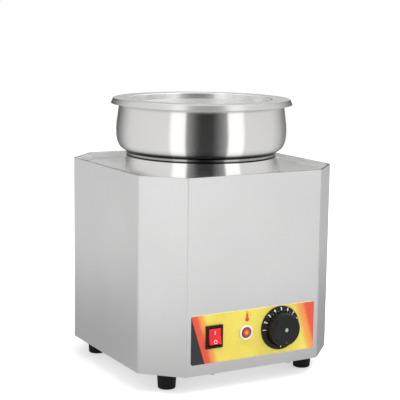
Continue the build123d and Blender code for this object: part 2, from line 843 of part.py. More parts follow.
# Label plate on the front panel, cut out for the controls
with BuildPart() as label_plate:
    with BuildSketch(facing_front(0, front_y, label_z)):
        RectangleRounded(label_width, label_height, label_corner)
        with Locations((switch_x, control_z - label_z)):
            Rectangle(switch_width + 2 * panel_play, switch_tall + 2 * panel_play, mode=Mode.SUBTRACT)
        with Locations((lamp_x, control_z - label_z)):
            Circle(lamp_barrel_radius + panel_play, mode=Mode.SUBTRACT)
        with Locations((knob_x, control_z - label_z)):
            Circle(bushing_radius + panel_play, mode=Mode.SUBTRACT)
        with Locations(*[(x, control_z - label_z) for x in thermostat_screw_x]):
            Circle(m4_radius + hole_play, mode=Mode.SUBTRACT)
    extrude(amount=label_sheet)
label_plate.part.label = "label_plate"
export_step(label_plate.part, "parts/label_plate.step")

# Rocker switch: the body clips into the panel, its bezel covers the cut-out
rocker_lift = rocker_face + rocker_half * tan(radians(rocker_angle))
rocker_tip = hypot(rocker_lift, rocker_half)
pressed_tip = rocker_tip * cos(atan2(rocker_lift, rocker_half) - radians(rocker_angle))
pivot_out = bezel_depth + rocker_proud - rocker_face * cos(radians(rocker_angle))
pivot_y = label_y - pivot_out
well_floor = pivot_out - rocker_under - rocker_half * sin(radians(rocker_angle)) - rocker_play
well_width = rocker_width + 2 * rocker_play
pivot_reach = rocker_width / 2 + rocker_play + pivot_length
with BuildPart() as switch_body:
    with BuildSketch(facing_front(switch_x, label_y, control_z)):
        RectangleRounded(bezel_width, bezel_height, bezel_corner)
    extrude(amount=bezel_depth)
    fillet(switch_body.edges().group_by(Axis.Y)[0], bezel_round)
    with BuildSketch(facing_front(switch_x, label_y, control_z)):
        Rectangle(switch_width, switch_tall)
    extrude(amount=-switch_back)
    with BuildSketch(facing_front(switch_x, label_y - bezel_depth, control_z)):
        Rectangle(well_width, 2 * (pressed_tip + rocker_play))
    extrude(amount=well_floor - bezel_depth, mode=Mode.SUBTRACT)
    with BuildSketch(Plane.YZ.offset(switch_x)):
        with Locations((pivot_y, control_z)):
            Circle(pivot_radius + pivot_gap)
    extrude(amount=pivot_reach + pivot_gap, both=True, mode=Mode.SUBTRACT)
switch_body.part.label = "switch_body"
export_step(switch_body.part, "parts/switch_body.step")

# Rocker, at rest with its upper half pressed in: a shallow V that tilts on two stub pins
tilt = radians(rocker_angle)
rocker_plane = Plane(
    origin=(switch_x, pivot_y, control_z),
    x_dir=(0, -cos(tilt), sin(tilt)),
    z_dir=(-1, 0, 0),
)
with BuildPart() as switch_rocker:
    with BuildSketch(rocker_plane) as side:
        with BuildLine():
            Polyline(
                (rocker_lift, rocker_half),
                (rocker_face, 0),
                (rocker_lift, -rocker_half),
                (-rocker_under, -rocker_half + rocker_taper),
                (-rocker_under, rocker_half - rocker_taper),
                close=True,
            )
        make_face()
        fillet(corner_near(side, rocker_face, 0), rocker_valley)
        fillet(corner_near(side, rocker_lift, rocker_half), rocker_round)
        fillet(corner_near(side, rocker_lift, -rocker_half), rocker_round)
    extrude(amount=rocker_width / 2, both=True)
    with BuildSketch(rocker_plane):
        Circle(pivot_radius)
    extrude(amount=pivot_reach - pivot_gap, both=True)
switch_rocker.part.label = "switch_rocker"
export_step(switch_rocker.part, "parts/switch_rocker.step")

switch_back_y = label_y + switch_back
with BuildPart() as switch_blades:
    with BuildSketch(facing_back(switch_x, switch_back_y, control_z)):
        with GridLocations(blade_pitch_x, blade_pitch_z, 2, 2):
            Rectangle(blade_sheet, blade_width)
    extrude(amount=blade_length)
switch_blades.part.label = "switch_blades"
export_step(switch_blades.part, "parts/switch_blades.step")

# Indicator lamp: bezel with a threaded barrel, domed lens, neon bulb in its base, and nut
lens_seat = lamp_bezel_depth - lens_seat_depth
lamp_plane = along_front(lamp_x, label_y, control_z)
lamp_axis = Axis((lamp_x, label_y, control_z), (0, -1, 0))
with BuildPart() as lamp_bezel:
    with BuildSketch(lamp_plane) as side:
        with BuildLine():
            Polyline(
                (lamp_bore_radius, -lamp_length),
                (lamp_barrel_radius, -lamp_length),
                (lamp_barrel_radius, 0),
                (lamp_bezel_radius, 0),
                (lamp_bezel_radius, lamp_bezel_depth),
                (lens_radius + panel_play, lamp_bezel_depth),
                (lens_radius + panel_play, lens_seat),
                (lamp_bore_radius, lens_seat),
                close=True,
            )
        make_face()
        fillet(corner_near(side, lamp_bezel_radius, lamp_bezel_depth), lamp_bezel_round)
    revolve(axis=lamp_axis)
lamp_bezel.part.label = "lamp_bezel"
export_step(lamp_bezel.part, "parts/lamp_bezel.step")

lens_shoulder = lens_seat + lens_flange
lens_top = (0, lens_shoulder + lens_crown)
with BuildPart() as lamp_lens:
    with BuildSketch(lamp_plane):
        with BuildLine():
            Polyline(lens_top, (0, lens_seat), (lens_radius, lens_seat), (lens_radius, lens_shoulder))
            TangentArc(lens_top, (lens_radius, lens_shoulder), tangent=(1, 0))
        make_face()
    revolve(axis=lamp_axis)
lamp_lens.part.label = "lamp_lens"
export_step(lamp_lens.part, "parts/lamp_lens.step")

bulb_tip = lens_seat - nut_play
bulb_foot = bulb_tip - bulb_length
with BuildPart() as lamp_bulb:
    with BuildSketch(facing_front(lamp_x, label_y - bulb_foot, control_z)):
        Circle(bulb_radius)
    extrude(amount=bulb_length)
    fillet(lamp_bulb.edges().group_by(Axis.Y)[0], bulb_round)
lamp_bulb.part.label = "lamp_bulb"
export_step(lamp_bulb.part, "parts/lamp_bulb.step")

barrel_end_y = label_y + lamp_length
with BuildPart() as lamp_base:
    with BuildSketch(facing_front(lamp_x, barrel_end_y, control_z)):
        Circle(lamp_bore_radius - touch_gap)
    extrude(amount=lamp_length + bulb_foot)
    with BuildSketch(facing_back(lamp_x, barrel_end_y, control_z)):
        Circle(lamp_barrel_radius)
    extrude(amount=plug_flange)
    with BuildSketch(facing_back(lamp_x, barrel_end_y + plug_flange, control_z)):
        with GridLocations(lamp_bore_radius, 1, 2, 1):
            Rectangle(blade_sheet, small_blade_width)
    extrude(amount=blade_length)
lamp_base.part.label = "lamp_base"
export_step(lamp_base.part, "parts/lamp_base.step")

with BuildPart() as lamp_nut:
    seat = facing_back(lamp_x, panel_back_y, control_z)
    add(hex_nut(seat, lamp_nut_flats, lamp_nut_height, lamp_barrel_radius))
lamp_nut.part.label = "lamp_nut"
export_step(lamp_nut.part, "parts/lamp_nut.step")

# Thermostat: a case on a mounting plate, its bushing comes out through the panel
thermostat_y = panel_back_y + thermostat_sheet
case_back_y = thermostat_y + thermostat_depth
with BuildPart() as thermostat_body:
    with BuildSketch(facing_front(knob_x, thermostat_y, control_z)):
        RectangleRounded(thermostat_plate_width, thermostat_plate_height, label_corner)
        with Locations(*[(x - knob_x, 0) for x in thermostat_screw_x]):
            Circle(m4_radius, mode=Mode.SUBTRACT)
    extrude(amount=thermostat_sheet)
    with BuildSketch(facing_back(knob_x, thermostat_y, control_z)):
        RectangleRounded(thermostat_width, thermostat_height, label_corner)
    extrude(amount=thermostat_depth)
    with BuildSketch(facing_front(knob_x, panel_back_y, control_z)):
        Circle(bushing_radius)
    extrude(amount=sheet + label_sheet + dial_floor)
    with BuildSketch(facing_front(knob_x, thermostat_y + shaft_depth + running_gap, control_z)):
        Circle(shaft_radius + running_gap)
    extrude(amount=2 * shaft_depth, mode=Mode.SUBTRACT)
thermostat_body.part.label = "thermostat_body"
export_step(thermostat_body.part, "parts/thermostat_body.step")

with BuildPart() as thermostat_blades:
    with BuildSketch(facing_back(knob_x, case_back_y, control_z)):
        with GridLocations(blade_pitch_x, 1, 2, 1):
            Rectangle(blade_sheet, blade_width)
    extrude(amount=blade_length)
thermostat_blades.part.label = "thermostat_blades"
export_step(thermostat_blades.part, "parts/thermostat_blades.step")

# Dial ring: its floor is held by the thermostat's screws, the knob turns in its well
dial_floor_y = label_y - dial_floor
dial_plane = along_front(knob_x, label_y, control_z)
knob_axis = Axis((knob_x, label_y, control_z), (0, -1, 0))
with BuildPart() as dial_ring:
    with BuildSketch(dial_plane) as side:
        with BuildLine():
            Polyline(
                (bushing_radius + panel_play, 0),
                (dial_radius, 0),
                (dial_radius, dial_edge),
                (cap_radius + dial_gap, dial_edge + dial_rise),
                (cap_radius + dial_gap, dial_floor),
                (bushing_radius + panel_play, dial_floor),
                close=True,
            )
        make_face()
        fillet(corner_near(side, dial_radius, dial_edge), dial_round)
    revolve(axis=knob_axis)
    for x in thermostat_screw_x:
        with BuildSketch(facing_front(x, label_y, control_z)):
            Circle(m4_radius + hole_play)
        extrude(amount=dial_floor, mode=Mode.SUBTRACT)
dial_ring.part.label = "dial_ring"
export_step(dial_ring.part, "parts/dial_ring.step")

screw_grip = dial_floor + label_sheet + sheet + thermostat_sheet
with BuildPart() as thermostat_screws:
    for x in thermostat_screw_x:
        seat = facing_front(x, dial_floor_y, control_z)
        add(pan_screw(seat, m4_head, m4_radius, screw_grip))
thermostat_screws.part.label = "thermostat_screws"
export_step(thermostat_screws.part, "parts/thermostat_screws.step")

# Thermostat shaft, with a flat where the knob grips it
shaft_end_y = thermostat_y + shaft_depth
knob_rim = dial_floor + knob_gap
knob_rim_y = label_y - knob_rim
with BuildPart() as thermostat_shaft:
    with BuildSketch(facing_front(knob_x, shaft_end_y, control_z)):
        Circle(shaft_radius)
    extrude(amount=shaft_end_y - label_y + shaft_reach)
    with BuildSketch(facing_front(knob_x, knob_rim_y, control_z)):
        with Locations((0, 2 * shaft_radius - shaft_flat)):
            Rectangle(2 * shaft_radius, 2 * shaft_radius)
    extrude(amount=shaft_reach, mode=Mode.SUBTRACT)
thermostat_shaft.part.label = "thermostat_shaft"
export_step(thermostat_shaft.part, "parts/thermostat_shaft.step")

# Control knob: a hollow cap with a dished face, its hub keyed to the shaft's flat
cavity_top = cap_height - dish_depth - cap_wall
dish_floor = (0, cap_height - dish_depth)
with BuildPart() as control_knob:
    with BuildSketch(dial_plane) as side:
        with BuildLine():
            Polyline(
                (0, knob_rim),
                (cap_radius, knob_rim),
                (cap_top_radius, cap_height),
                (dish_radius, cap_height),
            )
            TangentArc(dish_floor, (dish_radius, cap_height), tangent=(1, 0))
            Line(dish_floor, (0, knob_rim))
        make_face()
        fillet(corner_near(side, cap_top_radius, cap_height), cap_round)
    revolve(axis=knob_axis)
    with BuildSketch(facing_front(knob_x, knob_rim_y, control_z)):
        Circle(cap_top_radius - cap_wall)
        Circle(hub_radius, mode=Mode.SUBTRACT)
    extrude(amount=cavity_top - knob_rim, mode=Mode.SUBTRACT)
    with BuildSketch(facing_front(knob_x, knob_rim_y, control_z)):
        Circle(shaft_radius + running_gap)
        with Locations((0, 2 * shaft_radius - shaft_flat + running_gap)):
            Rectangle(3 * shaft_radius, 2 * shaft_radius, mode=Mode.SUBTRACT)
    extrude(amount=shaft_reach - knob_rim + running_gap, mode=Mode.SUBTRACT)
control_knob.part.label = "control_knob"
export_step(control_knob.part, "parts/control_knob.step")

# Thermostat bulb: stands against the tank wall, its capillary tube rises from the thermostat
sensor_circle = tank_outer + sensor_radius + touch_gap
sensor_y = -sqrt(sensor_circle**2 - knob_x**2)
sensor_z = tank_floor_z + sensor_lift
capillary_y = case_back_y - capillary_inset
capillary_z = control_z + thermostat_height / 2
with BuildPart() as thermostat_bulb:
    with BuildLine() as route:
        FilletPolyline(
            (knob_x, capillary_y, capillary_z),
            (knob_x, capillary_y, capillary_z + capillary_stub),
            (knob_x, sensor_y, sensor_z - capillary_stub),
            (knob_x, sensor_y, sensor_z),
            radius=capillary_bend,
        )
    with BuildSketch(Plane.XY.offset(capillary_z)):
        with Locations((knob_x, capillary_y)):
            Circle(capillary_radius)
    sweep(path=route.wires()[0])
    with BuildSketch(Plane.XY.offset(sensor_z)):
        with Locations((knob_x, sensor_y)):
            Circle(sensor_radius)
    extrude(amount=sensor_length)
    fillet(thermostat_bulb.edges().group_by(Axis.Z)[-1], sensor_round)
thermostat_bulb.part.label = "thermostat_bulb"
export_step(thermostat_bulb.part, "parts/thermostat_bulb.step")

# Bulb clips: two straps round the bulb, their tabs on the tank wall
clip_inner = tank_outer + touch_gap / 2
clip_outer = clip_inner + clip_sheet
sensor_way = Vector(knob_x, sensor_y, 0).normalized()
tab_corners = [sensor_way.rotate(Axis.Z, side * clip_tab_angle) * 2 * clip_outer for side in (-1, 1)]
with BuildPart() as bulb_clips:
    for share in (1 / 4, 3 / 4):
        with BuildSketch(Plane.XY.offset(sensor_z + share * sensor_length - clip_height / 2)):
            with BuildLine():
                Polyline((0, 0), *tab_corners, close=True)
            make_face()
            Circle(clip_outer, mode=Mode.INTERSECT)
            with Locations((knob_x, sensor_y)):
                Circle(sensor_radius + touch_gap + clip_sheet)
                Circle(sensor_radius + touch_gap, mode=Mode.SUBTRACT)
            Circle(clip_inner, mode=Mode.SUBTRACT)
        extrude(amount=clip_height)
bulb_clips.part.label = "bulb_clips"
export_step(bulb_clips.part, "parts/bulb_clips.step")

# Cable gland at the back: hexagon and threaded barrel, dome cap, and lock nut inside
gland_z = base_z + gland_height
gland_plane = along_back(gland_x, back_y, gland_z)
gland_axis = Axis((gland_x, back_y, gland_z), (0, 1, 0))
with BuildPart() as cable_gland:
    add(hex_nut(facing_back(gland_x, back_y, gland_z), gland_flats, gland_hex, gland_bore))
    with BuildSketch(facing_back(gland_x, back_y, gland_z)):
        Circle(gland_thread_radius)
        Circle(gland_bore, mode=Mode.SUBTRACT)
    extrude(amount=-gland_inside)
cable_gland.part.label = "cable_gland"
export_step(cable_gland.part, "parts/cable_gland.step")

with BuildPart() as gland_cap_nut:
    with BuildSketch(gland_plane) as side:
        with BuildLine():
            Polyline(
                (gland_bore, gland_hex),
                (gland_cap_radius, gland_hex),
                (gland_cap_radius, gland_hex + gland_cap),
                (gland_bore, gland_hex + gland_cap),
                close=True,
            )
        make_face()
        fillet(corner_near(side, gland_cap_radius, gland_hex + gland_cap), gland_round)
    revolve(axis=gland_axis)
gland_cap_nut.part.label = "gland_cap_nut"
export_step(gland_cap_nut.part, "parts/gland_cap_nut.step")

with BuildPart() as gland_lock_nut:
    seat = facing_front(gland_x, back_y - sheet, gland_z)
    add(hex_nut(seat, gland_flats, gland_nut_height, gland_thread_radius))
gland_lock_nut.part.label = "gland_lock_nut"
export_step(gland_lock_nut.part, "parts/gland_lock_nut.step")

# Terminal block on the bottom plate: screw wells on top, wire channels along Y
floor_z = plate_z + sheet
pole_pitch = block_width / block_poles
with BuildPart() as terminal_block:
    with BuildSketch(Plane.XY.offset(floor_z)):
        with Locations((gland_x, block_y)):
            Rectangle(block_width, block_depth)
    extrude(amount=block_height)
    with BuildSketch(Plane.XY.offset(floor_z + block_height)):
        with Locations((gland_x, block_y)):
            with GridLocations(pole_pitch, block_depth / 2, block_poles, 2):
                Circle(well_radius)
    extrude(amount=-well_depth, mode=Mode.SUBTRACT)
    with BuildSketch(facing_back(gland_x, block_y, floor_z + block_height / 2)):
        with GridLocations(pole_pitch, 1, block_poles, 1):
            Circle(wire_radius)
    extrude(amount=block_depth, both=True, mode=Mode.SUBTRACT)
terminal_block.part.label = "terminal_block"
export_step(terminal_block.part, "parts/terminal_block.step")

with BuildPart() as terminal_screws:
    with BuildSketch(Plane.XY.offset(floor_z + block_height - well_depth)):
        with Locations((gland_x, block_y)):
            with GridLocations(pole_pitch, block_depth / 2, block_poles, 2):
                Circle(well_radius - fit_gap)
    extrude(amount=head_height)
terminal_screws.part.label = "terminal_screws"
export_step(terminal_screws.part, "parts/terminal_screws.step")

# Earth stud welded on the bottom plate, with its nut
with BuildPart() as earth_stud:
    with BuildSketch(Plane.XY.offset(floor_z)):
        with Locations((earth_x, earth_y)):
            Circle(m5_radius)
    extrude(amount=earth_length)
earth_stud.part.label = "earth_stud"
export_step(earth_stud.part, "parts/earth_stud.step")

with BuildPart() as earth_nut:
    add(hex_nut(Plane(origin=(earth_x, earth_y, floor_z)), m5_flats, m5_nut, m5_radius))
earth_nut.part.label = "earth_nut"
export_step(earth_nut.part, "parts/earth_nut.step")
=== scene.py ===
from math import atan2, cos, pi, radians, sin, tan

import bpy
from mathutils import Matrix, Vector


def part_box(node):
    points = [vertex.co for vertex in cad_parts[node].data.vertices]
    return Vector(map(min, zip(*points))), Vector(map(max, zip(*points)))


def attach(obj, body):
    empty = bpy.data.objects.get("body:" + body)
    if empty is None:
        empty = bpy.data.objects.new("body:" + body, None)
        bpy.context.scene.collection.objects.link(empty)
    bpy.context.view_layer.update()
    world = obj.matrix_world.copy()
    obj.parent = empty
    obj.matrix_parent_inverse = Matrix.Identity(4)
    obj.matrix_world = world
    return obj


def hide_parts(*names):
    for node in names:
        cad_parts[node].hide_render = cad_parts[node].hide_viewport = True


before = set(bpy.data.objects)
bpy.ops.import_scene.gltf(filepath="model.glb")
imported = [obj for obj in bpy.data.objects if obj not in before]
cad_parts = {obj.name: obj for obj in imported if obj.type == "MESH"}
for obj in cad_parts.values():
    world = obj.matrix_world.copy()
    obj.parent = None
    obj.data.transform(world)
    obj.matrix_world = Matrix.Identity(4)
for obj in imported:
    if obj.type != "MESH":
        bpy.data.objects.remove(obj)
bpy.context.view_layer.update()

MM = 0.001
TURN = 2 * pi
QUARTER_TURN = 0.25
MERGE = 0.002 * MM

# Camera, worked out from the housing's corners in the photograph, in radians and millimetres
CAMERA_AZIMUTH = -0.51568
CAMERA_ELEVATION = 0.16032
CAMERA_ROLL = 0.01388
CAMERA_DISTANCE = 1709.96
CAMERA_FOCAL_PIXELS = 1193.97
AIM_RIGHT = 0.56
AIM_UP = 73.46
AIM_HEIGHT = 155.5
SENSOR_WIDTH = 36.0
PHOTO_WIDTH = 400.0


def rest_box(node):
    """Lowest and highest corner of a solid, in millimetres."""
    low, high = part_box(node)
    return low / MM, high / MM


def middle(node):
    """Centre of a solid's box, in millimetres."""
    low, high = rest_box(node)
    return (low + high) / 2


label_low, label_high = rest_box("label_plate")
pot_low, pot_high = rest_box("soup_pot")
ring_low, ring_high = rest_box("bowl_ring")
collar_low, collar_high = rest_box("tank_collar")
dial_low, dial_high = rest_box("dial_ring")
LABEL_Y = label_low.y
CONTROL_Z = middle("dial_ring").z
KNOB_X = middle("dial_ring").x
LAMP_X = middle("lamp_bezel").x
SWITCH_X = middle("switch_body").x


# Selecting and shaping by operators
def deselect():
    """Leave edit mode and select nothing."""
    if bpy.context.object and bpy.context.object.mode != "OBJECT":
        bpy.ops.object.mode_set(mode="OBJECT")
    bpy.ops.object.select_all(action="DESELECT")


def pick(piece):
    """Make one piece the only selected and active one."""
    deselect()
    piece.select_set(True)
    bpy.context.view_layer.objects.active = piece
    return piece


def edit_all():
    """Edit the active piece, with the whole of it selected."""
    bpy.ops.object.mode_set(mode="EDIT")
    bpy.ops.mesh.select_all(action="SELECT")


def apply_modifiers(piece):
    """Apply all of a piece's modifiers."""
    pick(piece)
    for modifier in list(piece.modifiers):
        bpy.ops.object.modifier_apply(modifier=modifier.name)
    return piece


def soften(piece, angle):
    """Shade smooth, with edges sharper than the angle left crisp."""
    pick(piece)
    bpy.ops.object.shade_smooth_by_angle(angle=radians(angle))
    return piece


def join(name, pieces):
    """Join pieces into one named piece."""
    deselect()
    for piece in pieces:
        piece.select_set(True)
    bpy.context.view_layer.objects.active = pieces[0]
    if len(pieces) > 1:
        bpy.ops.object.join()
    pieces[0].name = name
    return pieces[0]


MERGED_CREASE = 30
LARGE_FACE_WEIGHT = 100


def merged_copy(node, name, has_flats=True):
    """A copy of a solid with its triangles merged, its bends shaded smooth and its flats flat."""
    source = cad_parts[node]
    piece = bpy.data.objects.new(name, source.data.copy())
    bpy.context.scene.collection.objects.link(piece)
    pick(piece)
    edit_all()
    bpy.ops.mesh.remove_doubles(threshold=MERGE)
    bpy.ops.object.mode_set(mode="OBJECT")
    soften(piece, MERGED_CREASE)
    if has_flats:
        flats = piece.modifiers.new("flats", "WEIGHTED_NORMAL")
        flats.mode = "FACE_AREA"
        flats.weight = LARGE_FACE_WEIGHT
        flats.keep_sharp = True
        apply_modifiers(piece)
    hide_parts(node)
    return piece


# Drawing profiles and spinning them
def curve(controls, steps):
    """Points on a Bezier curve, without its first point."""
    points = []
    for i in range(1, steps + 1):
        row = [Vector(point) for point in controls]
        while len(row) > 1:
            row = [a.lerp(b, i / steps) for a, b in zip(row, row[1:])]
        points.append(tuple(row[0]))
    return points


BEND_STEPS = 8


def rounded(path, radii):
    """A path of straight runs with its inner corners rounded."""
    points = [path[0]]
    for before, corner, after, radius in zip(path, path[1:], path[2:], radii):
        here = Vector(corner)
        back = (Vector(before) - here).normalized()
        onward = (Vector(after) - here).normalized()
        reach = radius / tan(back.angle(onward) / 2)
        start = here + back * reach
        end = here + onward * reach
        points.append(tuple(start))
        points.extend(curve([tuple(start), corner, tuple(end)], BEND_STEPS))
    points.append(path[-1])
    return points


SPIN_STEPS = 192
SPUN_CREASE = 40


def spun(name, profile, sheet):
    """Spin an outer profile of radius and height about the pot's axis, and give it its sheet."""
    place = [Vector((radius, 0, height)) * MM for radius, height in profile]
    deselect()
    bpy.ops.mesh.primitive_plane_add(size=MM, location=(0, 0, 0))
    piece = bpy.context.object
    piece.name = name
    bpy.ops.object.mode_set(mode="EDIT")
    bpy.ops.mesh.merge(type="CENTER")
    bpy.ops.transform.translate(value=place[0])
    for start, end in zip(place, place[1:]):
        bpy.ops.mesh.extrude_vertices_move(TRANSFORM_OT_translate={"value": end - start})
    bpy.ops.mesh.select_all(action="SELECT")
    bpy.ops.mesh.spin(steps=SPIN_STEPS, angle=TURN, center=(0, 0, 0), axis=(0, 0, 1))
    bpy.ops.mesh.select_all(action="SELECT")
    bpy.ops.mesh.remove_doubles(threshold=MERGE)
    bpy.ops.mesh.normals_make_consistent(inside=False)
    bpy.ops.object.mode_set(mode="OBJECT")
    wall = piece.modifiers.new("wall", "SOLIDIFY")
    wall.thickness = sheet * MM
    wall.offset = -1
    wall.use_even_offset = True
    return soften(apply_modifiers(piece), SPUN_CREASE)


# Shader groups
def new_group(name, inputs, outputs):
    """A group with named sockets and default values, its wiring, what it is given and what it sends out."""
    group = bpy.data.node_groups.new(name, "ShaderNodeTree")
    for label, kind, value in inputs:
        socket = group.interface.new_socket(label, in_out="INPUT", socket_type=kind)
        if value is not None:
            socket.default_value = value
    for label, kind in outputs:
        group.interface.new_socket(label, in_out="OUTPUT", socket_type=kind)
    w = Wiring(group)
    return group, w, w.node("NodeGroupInput").outputs, w.node("NodeGroupOutput").inputs


class Wiring:
    """Adds nodes to a tree and links their sockets."""

    def __init__(self, tree):
        self.tree = tree

    def node(self, kind, **settings):
        """Add a node with its settings."""
        made = self.tree.nodes.new(kind)
        for key, value in settings.items():
            setattr(made, key, value)
        return made

    def feed(self, socket, value):
        """Link a socket to another, or give it a constant."""
        if isinstance(value, bpy.types.NodeSocket):
            self.tree.links.new(value, socket)
        elif value is not None:
            socket.default_value = value

    def math(self, operation, *values):
        """Work out a number."""
        made = self.node("ShaderNodeMath", operation=operation)
        for socket, value in zip(made.inputs, values):
            self.feed(socket, value)
        return made.outputs[0]

    def vector(self, operation, *values):
        """Work out a vector."""
        made = self.node("ShaderNodeVectorMath", operation=operation)
        for socket, value in zip(made.inputs, values):
            self.feed(socket, value)
        return made.outputs[0]

    def scaled(self, vector, scale):
        """A vector made longer or shorter."""
        made = self.node("ShaderNodeVectorMath", operation="SCALE")
        self.feed(made.inputs[0], vector)
        self.feed(made.inputs["Scale"], scale)
        return made.outputs[0]

    def agreement(self, a, b):
        """How far two directions agree, from -1 to 1."""
        made = self.node("ShaderNodeVectorMath", operation="DOT_PRODUCT")
        self.feed(made.inputs[0], a)
        self.feed(made.inputs[1], b)
        return made.outputs["Value"]

    def split(self, vector):
        """A vector's three numbers."""
        made = self.node("ShaderNodeSeparateXYZ")
        self.feed(made.inputs[0], vector)
        return made.outputs

    def mix(self, factor, a, b):
        """A colour between two."""
        made = self.node("ShaderNodeMix", data_type="RGBA")
        self.feed(made.inputs[0], factor)
        self.feed(made.inputs[6], a)
        self.feed(made.inputs[7], b)
        return made.outputs[2]

    def band(self, value, low, high, out_low=0.0, out_high=1.0):
        """Map a value's range to another, smoothly."""
        made = self.node("ShaderNodeMapRange", interpolation_type="SMOOTHSTEP")
        for socket, number in zip(made.inputs, (value, low, high, out_low, out_high)):
            self.feed(socket, number)
        return made.outputs[0]

    def ramp(self, share, stops):
        """A colour ramp from 0 to 1, with the place and the colour of each stop."""
        made = self.node("ShaderNodeValToRGB")
        self.feed(made.inputs[0], share)
        elements = made.color_ramp.elements
        elements.remove(elements[-1])
        for i, (place, colour) in enumerate(stops):
            stop = elements[0] if i == 0 else elements.new(place)
            stop.position = place
            stop.color = colour
        return made.outputs[0]

    def noise(self, vector, scale, detail, roughness):
        """Random mottling from 0 to 1."""
        made = self.node("ShaderNodeTexNoise")
        self.feed(made.inputs["Vector"], vector)
        self.feed(made.inputs["Scale"], scale)
        self.feed(made.inputs["Detail"], detail)
        self.feed(made.inputs["Roughness"], roughness)
        return made.outputs["Fac"]

    def object_place(self):
        """Object coordinates, and each of the three in millimetres."""
        coords = self.node("ShaderNodeTexCoord").outputs["Object"]
        return [coords] + [self.math("DIVIDE", part, MM) for part in self.split(coords)]

    def distance(self, x, y):
        """Distance from the middle, along the flat."""
        squares = self.math("ADD", self.math("MULTIPLY", x, x), self.math("MULTIPLY", y, y))
        return self.math("SQRT", squares)


FINISH_OUTPUTS = [
    ("Roughness", "NodeSocketFloat"), ("Height", "NodeSocketFloat"), ("Shade", "NodeSocketFloat"),
]


def finish_outputs(w, out, given, grain, uneven, shade):
    """Send out grain as height, roughness that swings with the unevenness, and a faint shade."""
    swing = w.math("SUBTRACT", uneven, 0.5)
    w.feed(out["Roughness"], w.math("MULTIPLY_ADD", swing, given["Spread"], given["Roughness"]))
    w.feed(out["Height"], grain)
    w.feed(out["Shade"], shade)


def brushed_group():
    """Fine straight grain plus faint broad mottling, for satin sheet."""
    group, w, given, out = new_group(
        "brushed sheet",
        [("Vector", "NodeSocketVector", None), ("Along", "NodeSocketVector", (4.0, 4.0, 900.0)),
         ("Roughness", "NodeSocketFloat", 0.3), ("Spread", "NodeSocketFloat", 0.06)],
        FINISH_OUTPUTS,
    )
    stretched = w.vector("MULTIPLY", given["Vector"], given["Along"])
    grain = w.noise(stretched, scale=1.0, detail=3.0, roughness=0.6)
    mottle = w.noise(given["Vector"], scale=7.0, detail=3.0, roughness=0.55)
    finish_outputs(w, out, given, grain, grain, w.band(mottle, 0.3, 0.7, 0.98, 1.02))
    return group


def spun_group():
    """Fine rings round the pot's axis, as a lathe and a polishing wheel leave them."""
    group, w, given, out = new_group(
        "spun sheet",
        [("Vector", "NodeSocketVector", None), ("Rings", "NodeSocketFloat", 900.0),
         ("Roughness", "NodeSocketFloat", 0.12), ("Spread", "NodeSocketFloat", 0.05)],
        FINISH_OUTPUTS,
    )
    x, y, z = w.split(given["Vector"])
    place = w.node("ShaderNodeCombineXYZ")
    w.feed(place.inputs[0], w.math("MULTIPLY", w.distance(x, y), given["Rings"]))
    w.feed(place.inputs[1], w.math("MULTIPLY", z, given["Rings"]))
    w.feed(place.inputs[2], w.math("MULTIPLY", w.math("ARCTAN2", y, x), 2.0))
    rings = w.noise(place.outputs[0], scale=1.0, detail=2.0, roughness=0.6)
    mottle = w.noise(given["Vector"], scale=11.0, detail=3.0, roughness=0.5)
    finish_outputs(w, out, given, rings, rings, w.band(mottle, 0.3, 0.7, 0.985, 1.015))
    return group


def moulded_group():
    """Pebbled skin of a moulding, with faint rubbed patches."""
    group, w, given, out = new_group(
        "moulded skin",
        [("Vector", "NodeSocketVector", None), ("Grain", "NodeSocketFloat", 1400.0),
         ("Roughness", "NodeSocketFloat", 0.4), ("Spread", "NodeSocketFloat", 0.08)],
        FINISH_OUTPUTS,
    )
    pebble = w.noise(given["Vector"], given["Grain"], detail=2.0, roughness=0.5)
    patches = w.noise(given["Vector"], scale=60.0, detail=3.0, roughness=0.6)
    finish_outputs(w, out, given, pebble, patches, w.band(patches, 0.25, 0.75, 0.93, 1.07))
    return group


# Drawn sheet: the lean of its evened out normal, how level a flat face is, and where inside begins
DRAWN_TILT = radians(13.0)
FLAT_FACE = (0.86, 0.96)
TURNED_AWAY = 0.05


def drawn_group():
    """Directions round the pot's axis: how far a face looks outwards, and a normal evened out by drawing.

    Sheet that is drawn and polished on a lathe mirrors upright bands in one piece over its curves,
    so its shading follows the direction round the axis, apart from flat faces.
    """
    group, w, given, out = new_group(
        "drawn sheet",
        [("Vector", "NodeSocketVector", None), ("Face", "NodeSocketVector", None)],
        [("Outward", "NodeSocketFloat"), ("Flat", "NodeSocketFloat"), ("Normal", "NodeSocketVector")],
    )
    away = w.vector("NORMALIZE", w.vector("MULTIPLY", given["Vector"], (1.0, 1.0, 0.0)))
    outward = w.agreement(away, given["Face"])
    turned = w.scaled(away, w.math("MULTIPLY", w.math("SIGN", outward), cos(DRAWN_TILT)))
    tilted = w.vector("ADD", turned, (0.0, 0.0, sin(DRAWN_TILT)))
    flat = w.band(w.math("ABSOLUTE", w.split(given["Face"])[2]), *FLAT_FACE)
    blend = w.node("ShaderNodeMix", data_type="VECTOR")
    w.feed(blend.inputs[0], flat)
    w.feed(blend.inputs[4], tilted)
    w.feed(blend.inputs[5], given["Face"])
    w.feed(out["Outward"], outward)
    w.feed(out["Flat"], flat)
    w.feed(out["Normal"], w.vector("NORMALIZE", blend.outputs[1]))
    return group


BRUSHED = brushed_group()
SPUN = spun_group()
MOULDED = moulded_group()
DRAWN = drawn_group()
GRAIN_DEPTH = 0.05 * MM
FINE_GRAIN = 1400.0


def blank_material(name):
    """A material without nodes, and its wiring."""
    material = bpy.data.materials.new(name)
    material.use_nodes = True
    material.node_tree.nodes.clear()
    return material, Wiring(material.node_tree)


